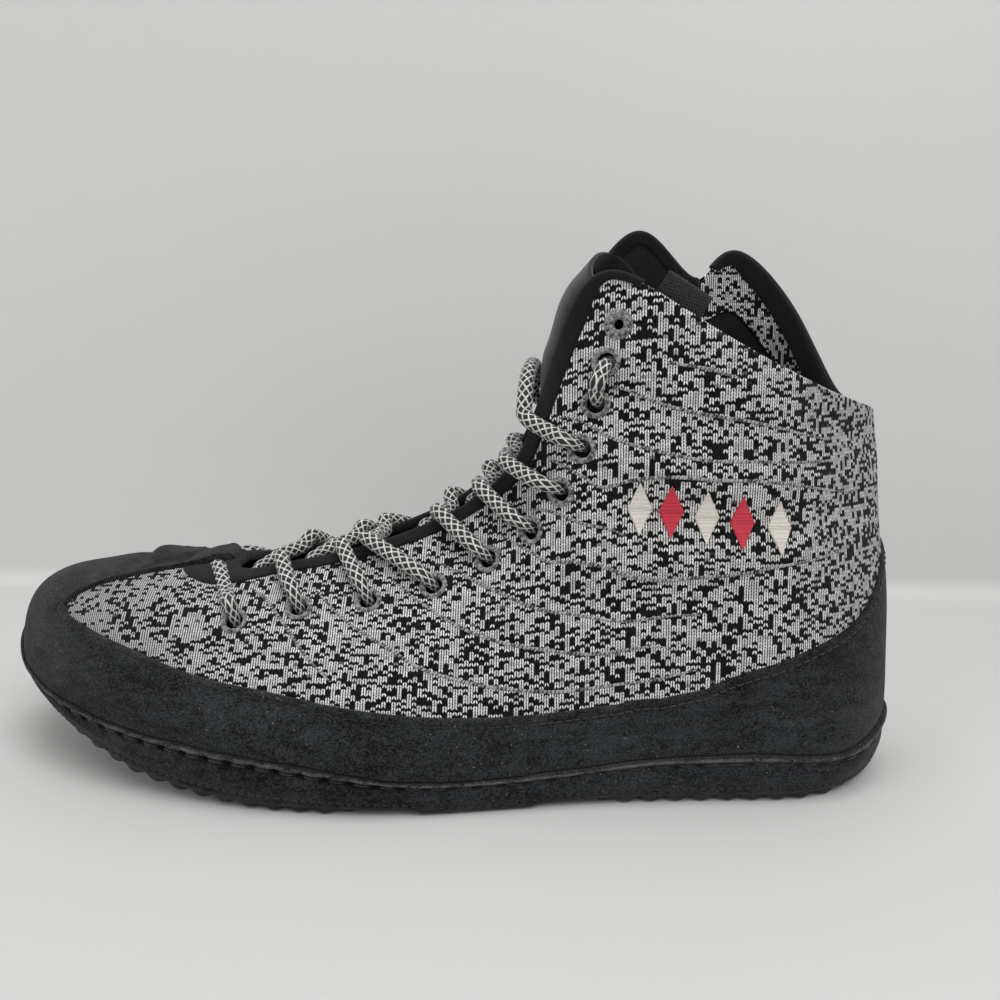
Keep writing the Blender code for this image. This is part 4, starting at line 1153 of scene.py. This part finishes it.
def tape_uv(sections, pitch):
    """Uv in ribs: along the tape's length and around its section, in steps of pitch."""
    u = travel(sections[:, 0])[:, None]
    v = np.cumsum(np.linalg.norm(np.diff(closed(sections), axis=1), axis=2), 1)
    return grid(u, np.concatenate([np.zeros((len(v), 1)), v], 1)) / pitch


LEAF = 0.0030  # the tapes' narrow leaves
THROAT_TAPE = 0.0005
CREST_TAPE = 0.0010
CREST_REAR, CREST_WIDE, CREST_FRONT = AROUND - 14.6, AROUND - 12.3, AROUND - 11.45
TAPE_WIDTH = np.array([
    # row, width of the throat tape's outer leaf in mm
    (0.00, 2.5), (0.45, 4.0), (0.62, 15.0), (1.10, 17.0), (1.40, 16.0), (1.70, 13.0), (2.00, 8.5),
    (2.40, 5.2), (2.80, 4.2), (6.20, 4.0), (7.00, 5.6), (8.50, 5.2), (9.30, 1.6), (9.90, 1.0),
])


def build_tapes():
    """Binding round the throat, wide before the first eyelets and narrow over the top corner, and
    the thicker one on the collar's inner crest."""
    rows = np.linspace(-11.0, 9.9, 520)
    wide = np.interp(np.abs(rows), TAPE_WIDTH[:, 0], TAPE_WIDTH[:, 1]) * MM
    throat = fold_sections(rows, wide, LEAF, THROAT_TAPE)
    rows = np.linspace(CREST_REAR, CREST_FRONT, 170)
    wide = np.interp(rows, [CREST_REAR, CREST_WIDE, CREST_FRONT], [5.4, 5.4, 1.2]) * MM
    crest = fold_sections(rows, LEAF, wide, CREST_TAPE)
    for name, tape, node in (("throat_tape", throat, "throat_binding"),
                             ("crest_tape", crest, "collar_binding")):
        make(name, solid(tape, uv=tape_uv(tape, TAPE_RIB)), TAPE, [node])


FACING_REAR, FACING_FRONT = AROUND - 14.4, AROUND - 11.04


def build_facing():
    """Knit turned in below the crest of the inner collar, seen through the opening."""
    rows = np.linspace(FACING_REAR, FACING_FRONT, 130)[:, None]
    low = np.interp(rows, [AROUND - 12.8, AROUND - 12.0, FACING_FRONT], [0.80, 0.85, 0.90])
    shares = low + (0.999 - low) * np.linspace(0.0, 1.0, 42)[None, :]
    front = skin(rows, shares, -WALL - 0.00055)
    back = skin(rows, shares[:, ::-1], -WALL - 0.00005)
    sections = np.concatenate([front, back], 1)
    make("crest_facing", solid(sections, uv=closed(stitch_uv(sections))), KNIT)


TAB_ROWS = (10.12, 10.86)
TAB_SEWN = 0.0140
TAB_STANDING = 0.0064
TAB_LEAN = 0.0012
WEBBING_RIB = 0.0009


def build_tab():
    """Webbing loop sewn inside the outer collar. Above the edge it leans inwards by the square of
    the height, and it is thinner down its middle and both sides, by a cosine to the power 8."""
    rows = np.linspace(*TAB_ROWS, 30)
    reach = np.linspace(TAB_SEWN, 0.0, 14)
    foot = near_edge(rows[:, None], reach, -WALL - GAP)
    run = unit(foot[:, -1:] - foot[:, -2:-1])
    out = normal(rows, 1.0)[:, None]
    share = np.linspace(0.0, 1.0, 12)[None, 1:, None]
    top = foot[:, -1:] + run * TAB_STANDING * share - out * TAB_LEAN * share ** 2
    front = np.concatenate([foot, top], 1)
    thick = 0.0015 - 0.0004 * np.cos(np.linspace(-1.0, 1.0, len(rows)) * np.pi)[:, None, None] ** 8
    back = front - out * thick
    tip = (front[:, -1:] + back[:, -1:]) / 2.0 + run * 0.0007
    sections = np.concatenate([front, tip, back[:, ::-1], (front[:, :1] + back[:, :1]) / 2.0], 1)
    uv = tape_uv(sections, WEBBING_RIB)
    make("pull_webbing", solid(sections, uv=uv), WEBBING, ["pull_tab"])


# Eyelets and lace

RING_RADIUS = 4.3 * MM
RING_HEIGHT = 0.65 * MM
RING_SECTION = np.array([
    # radius, height
    (1.00, 0.00), (0.98, 0.45), (0.90, 0.85), (0.81, 1.00), (0.72, 0.85), (0.655, 0.40),
    (0.62, -0.50), (0.62, -2.80), (0.70, -2.80), (0.97, -0.35),
])
DRAWN_SHUT = 1.75  # how many times wider inwards the top pair's rings are


def build_eyelets():
    """Stitched rings: a flattened ring that runs down into the hole. Its height has a sine for each
    turn of thread and two slower ones, its radius two more. The top pair, without lace, has drawn
    nearly shut."""
    parts = []
    turns = 144
    turn = np.linspace(0.0, 2.0 * np.pi, turns, endpoint=False)[:, None]
    across, high = RING_SECTION.T
    uv = grid(np.linspace(0.0, 10.0, 11), np.linspace(0.0, 72.0, turns + 1)[:, None])
    for number, (centre, out, climb) in enumerate(zip(*EYELET_FRAMES)):
        rib = 1.0 + 0.06 * np.sin(36.0 * turn) + 0.16 * np.sin(7.0 * turn + number)
        rib = rib + 0.12 * np.sin(13.0 * turn)
        wobble = 1.0 + 0.025 * np.sin(2.0 * turn + number) + 0.012 * np.sin(9.0 * turn + 2.0 * number)
        top = number % len(EYELETS) == len(EYELETS) - 1
        radius = RING_RADIUS * (1.0 - (DRAWN_SHUT if top else 1.0) * (1.0 - across)) * wobble
        height = RING_HEIGHT * high * np.where(high > 0, rib, 1.0)
        ring = circle(turns, np.cross(out, climb), climb)[:, None]
        sections = centre + ring * radius[..., None] + out * height[..., None]
        parts.append(solid(sections, wrap=True, uv=uv))
    make("eyelet_rings", joined(parts), RING_THREAD, named("eyelet_"))


LACE_RADIUS = 0.0025
OVER_TONGUE = 0.0004
OVER_EDGE = 0.0008
OVER_WALL = 0.0009
DIAMOND = 0.0033
ROPE_SIDES = 14
ROPE_STEP = 0.0006
SHORT_STRAND = 0.040  # the uprights are shorter and thin less
# Row where each outer eyelet's strand comes over the edge, from the toe up
CRESTS = np.array([1.20, 3.00, 4.05, 4.48, 5.65, 6.35, 6.85, 7.40])


def rope(path, radius):
    """Closed round tube along a path. Its rings turn as little as the path allows. The uv counts
    diamonds along and once around."""
    run = unit(np.gradient(path, axis=0))
    side = np.empty_like(path)
    side[0] = unit(np.cross(run[0], [0.3, 0.2, 1.0]))
    for k in range(1, len(path)):
        side[k] = unit(side[k - 1] - run[k] * (side[k - 1] @ run[k]))
    rings = radius[:, None, None] * circle(ROPE_SIDES, side, np.cross(run, side), 1)
    uv = grid(travel(path)[:, None] / DIAMOND, np.linspace(0.0, 1.0, ROPE_SIDES + 1))
    return solid(path[:, None] + rings, uv=uv)


def even(path, spacing):
    """The path's points moved to even spacing."""
    way = travel(path)
    return read_at(np.linspace(0.0, way[-1], int(way[-1] / spacing) + 2), way, path)


def over_throat(row, share, ride, inner):
    """Point over the throat, share of the way from the outer edge to the inner one, or back again
    with inner. It lies ride above the tongue or the line between the edges, whichever is higher."""
    rows = np.array([row, AROUND - row])
    edges, up = skin(rows, 1.0), unit(normal(rows, 1.0).mean(0))
    start, end = edges[::-1] if inner else edges
    point = start * (1.0 - share) + end * share
    tongue = tongue_sections(rows[:1], TONGUE_DEPTH)[0]
    height = np.max((tongue - point) @ up)
    return point + up * max(ride, height + LACE_RADIUS + OVER_TONGUE)


def mouth(index, inner):
    """Centre, outward normal and upward direction of an eyelet; inner is True on the inner side."""
    k = index + (len(EYELETS) if inner else 0)
    return [part[k] for part in EYELET_FRAMES]


def rim(row, inner):
    """The lace's middle where it comes over the edge."""
    return skin(mirrored(row, inner), 1.0, LACE_RADIUS + OVER_EDGE)


def into_hole(index, inner, towards):
    """Points from above the eyelet's rim down through the upper part of its hole, coming from a
    point."""
    centre, out, climb = mouth(index, inner)
    lean = towards - centre
    lean = unit(lean - out * (lean @ out))
    return [centre + (climb * 0.4 + out * high + lean * off) * MM
            for high, off in ((3.0, 4.8), (1.6, 2.4), (-1.2, 1.0), (-5.0, 0.2))]


ROW_LENGTH = 0.018
CROSSINGS = [
    # lower end's eyelet, starts on the inner side, height over the tongue, bow up the shoe (metres)
    (0, False, 0.0010, 0.0000), (0, True, -0.001, 0.0000),
    (1, False, 0.0008, 0.0000), (1, True, -0.001, 0.0000),
    (2, False, 0.0004, 0.0000), (2, True, 0.0008, 0.0000),
    (3, False, -0.001, 0.0000), (3, True, 0.0016, 0.0002),
    (4, False, -0.001, 0.0000), (4, True, 0.0022, 0.0004),
    (5, False, 0.0000, 0.0000), (5, True, 0.0028, 0.0008),
]


def crossing(index, inner, ride, bow):
    """Path from under one edge, over the tongue and the other edge, into the next eyelet. inner is
    True where it starts on the inner side and so ends on the outer side."""
    low, high = EYELETS[index, 0], CRESTS[index + 1]
    row, inset = EYELETS[index + 1]
    centre, out, _ = mouth(index + 1, not inner)
    crest = rim(high, not inner)
    half = (crest + centre) / 2.0 + out * OVER_EDGE
    cloth = near_edge(mirrored(row, not inner), 0.5 * inset, 0.0)
    half = half + out * max(0.0, LACE_RADIUS + OVER_WALL - (half - cloth) @ out)
    push = bow / ROW_LENGTH
    # share of the way over the throat, ride, share of the bow
    over = ((0.03, -0.0050, 0.0), (0.14, 0.0004, 0.3), (0.34, ride * 0.8, 1.0), (0.60, ride, 1.0),
            (0.85, ride, 0.6))
    points = [over_throat(low + (high - low) * share + push * bowed, share, lift, inner)
              for share, lift, bowed in over]
    return np.array(points + [crest, half] + into_hole(index + 1, not inner, half))


def arch():
    """Top crossing, out of both eighth eyelets and up over the tongue in an open arch."""
    # row, share of the way over the throat, ride
    over = ((7.54, 0.04, 0.0042), (7.65, 0.14, 0.0026), (7.74, 0.30, 0.0010), (7.77, 0.50, 0.0008))
    sides = []
    for inner in (False, True):
        centre, out, _ = mouth(7, inner)
        crest = rim(CRESTS[7], inner)
        half = (crest + centre) / 2.0 + out * 0.0022
        rise = [over_throat(row, share, ride, inner) for row, share, ride in over]
        sides.append(into_hole(7, inner, half)[::-1] + [half, crest] + rise)
    return np.array(sides[0] + sides[1][-2::-1])


def bar():
    """First bar, from eyelet to eyelet before the throat, under the end of the guard's strip."""
    ends = []
    for inner in (False, True):
        centre, out, _ = mouth(0, inner)
        crest, under = (skin(mirrored(row, inner), 0.952, lift)
                        for row, lift in ((1.18, -0.0003), (0.62, -0.0014)))
        half = (crest + centre) / 2.0 + out * 0.0012
        ends.append(into_hole(0, inner, half)[::-1] + [half, crest, under])
    return np.array(ends[0] + ends[1][::-1])


def upright(inner):
    """Short strand outside the shaft, out of the ninth eyelet and into the tenth."""
    low, high = mouth(8, inner), mouth(9, inner)
    middle = (low[0] + high[0]) / 2.0 + unit(low[1] + high[1]) * 0.0040
    return np.array(into_hole(8, inner, high[0])[::-1] + [middle] + into_hole(9, inner, low[0]))


def build_lace():
    """The lace where it shows: the first bar, the crossings, the top arch and the uprights. Each
    strand thins where it is drawn through its eyelets, its ends lie hidden inside the shoe, and its
    radius ripples by a squared sine of its length."""
    paths = [bar(), arch()] + [crossing(*row) for row in CROSSINGS]
    paths += [upright(inner) for inner in (False, True)]
    parts = []
    for path in paths:
        path = even(soft_line(path, 160), ROPE_STEP)
        way = travel(path)[-1] * np.linspace(0.0, 1.0, len(path))
        end = np.minimum(way, way[-1] - way)
        thin = 0.84 if way[-1] < SHORT_STRAND else 0.68
        radius = LACE_RADIUS * np.interp(end, [0.0, 0.0050, 0.0120], [thin - 0.06, thin, 1.0])
        parts.append(rope(path, radius * (1.0 - 0.05 * np.sin(way * 900.0) ** 2)))
    make("lace", joined(parts), BRAID, named("lace_"))


# Patch of embroidery on the ankle, five upright lozenges in two threads

LOZENGES = [
    # row, share, thread
    (9.55, 0.530, 0),
    (10.20, 0.545, 1),
    (10.85, 0.562, 0),
    (11.42, 0.578, 1),
    (11.98, 0.594, 0),
]
LOZENGE_WIDE = 3.7 * MM  # half of its width
LOZENGE_HIGH = 7.8 * MM  # half of its height
SATIN = 0.42 * MM
PAD = 0.60 * MM
RIB = 0.05 * MM


def lozenge(row, share):
    """A padded lozenge in satin stitch: its width shrinks in proportion towards its tips, its pad
    falls to the cloth beside its rim by a square root, and a sine ribs it."""
    a, b = np.meshgrid(np.linspace(-1.0, 1.0, 40), np.linspace(-1.0, 1.0, 61), indexing="ij")
    along, climb = slopes(row, share)
    out = unit(np.cross(along, climb))
    level = unit(np.cross([0.0, 0.0, 1.0], out))
    level = level * np.sign(level @ along)
    tall = np.cross(out, level)
    tall = tall * np.sign(tall[2])
    across = (a * (1.0 - np.abs(b)) * LOZENGE_WIDE)[..., None]
    move = across * level + (b * LOZENGE_HIGH)[..., None] * tall
    s, t = step_over(np.full(a.shape, row), np.full(a.shape, share), along, climb, move)
    edge = np.clip((1.0 - np.abs(a)) * 6.0, 0.0, 1.0) ** 0.5
    thread = b * LOZENGE_HIGH / SATIN
    front = skin(s, t, 0.0001 + (PAD + RIB * np.sin(thread * np.pi)) * edge)
    back = skin(s[::-1], t[::-1], SEATED)
    sections = np.concatenate([front, back], 0).transpose(1, 0, 2)
    return solid(sections, uv=grid(np.linspace(0.0, 16.0, 81), thread[0][:, None]))


def build_badge():
    """The lozenges of each thread as one piece."""
    for name, thread, finish in (("cream_lozenges", 0, CREAM_THREAD), ("red_lozenges", 1, RED_THREAD)):
        parts = [lozenge(row, share) for row, share, kind in LOZENGES if kind == thread]
        make(name, joined(parts), finish)


# Solids that show as packed

def finish_solids():
    """The insole is the one solid that no piece stands for."""
    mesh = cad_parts["insole"].data
    mesh.materials.clear()
    mesh.materials.append(LINING)


# Room, light and camera

def plain(name, colour, roughness):
    """Paint of nearly one colour."""
    f = Finish(name, roughness, specular=0.3)
    broad = f.noise(f.spot(), 3.0, 2.0)
    low, high = (tuple(c * k for c in colour[:3]) + (1.0,) for k in (0.97, 1.03))
    return f.close(f.mix(broad, low, high))


ROOM_DEPTH = 0.192
ROOM_CORNER = 0.010


def build_room():
    """Pale floor that turns up into a wall through a quarter circle: one profile carried sideways."""
    angle = np.linspace(0.0, np.pi / 2.0, 9)
    y = np.concatenate([[-3.0], ROOM_DEPTH - ROOM_CORNER * (1.0 - np.sin(angle)), [ROOM_DEPTH]])
    z = np.concatenate([[0.0], ROOM_CORNER * (1.0 - np.cos(angle)), [2.5]])
    count = len(y)
    points = [(x, *point) for x in (-2.5, 2.5) for point in zip(y.tolist(), z.tolist())]
    faces = [(k, k + count, k + count + 1, k + 1) for k in range(count - 1)]
    mesh = bpy.data.meshes.new("room")
    mesh.from_pydata(points, [], faces)
    mesh.polygons.foreach_set("use_smooth", [True] * len(faces))
    mesh.materials.append(plain("pale_paint", (0.60, 0.60, 0.595), 0.55))
    room = link("room", mesh)


def light(name, place, aim, size, power):
    """Round lamp at a place, turned to its aim."""
    lamp = bpy.data.lights.new(name, "AREA")
    lamp.shape, lamp.size, lamp.energy = "DISK", size, power
    source = link(name, lamp)
    source.location = place
    source.rotation_mode = "QUATERNION"
    source.rotation_quaternion = (Vector(place) - Vector(aim)).to_track_quat("Z", "Y")


def build_light():
    """Window light from the right, a weaker one from the left, one above and a pale room."""
    bpy.context.scene.view_settings.view_transform = "Standard"
    light("window", (0.45, -0.75, 1.05), (0.0, 0.0, 0.05), 0.9, 9.0)
    light("fill", (-0.90, -0.70, 0.55), (0.0, 0.0, 0.05), 0.8, 3.0)
    light("top", (0.0, 0.05, 1.30), (0.0, 0.0, 0.0), 0.8, 5.6)
    world = bpy.data.worlds.new("room_light")
    world.use_nodes = True
    sky = world.node_tree.nodes["Background"].inputs
    sky["Color"].default_value = (1.0, 1.0, 0.99, 1.0)
    sky["Strength"].default_value = 0.42
    bpy.context.scene.world = world


CAMERA_PLACE = np.array([0.1822, -0.3186, 0.1455])
CAMERA_DOWN = 10.76
CAMERA_TURN = 3.0


def build_camera():
    """Where the photograph was taken: ahead of the ankle, a hand above the shoe, looking down."""
    lens = bpy.data.cameras.new("camera")
    lens.lens, lens.sensor_width = 36.0, 36.0
    camera = link("camera", lens)
    camera.location = CAMERA_PLACE + PLACE
    camera.rotation_euler = np.radians([90.0 - CAMERA_DOWN, 0.0, CAMERA_TURN])
    bpy.context.scene.camera = camera


build_camera()
build_room()
build_light()
build_knit()
build_lining()
build_knit_lines()
build_suede()
build_sole()
build_pods()
build_stitches()
build_tongue()
build_tapes()
build_facing()
build_tab()
build_eyelets()
build_lace()
build_badge()
finish_solids()

bpy.context.view_layer.update()
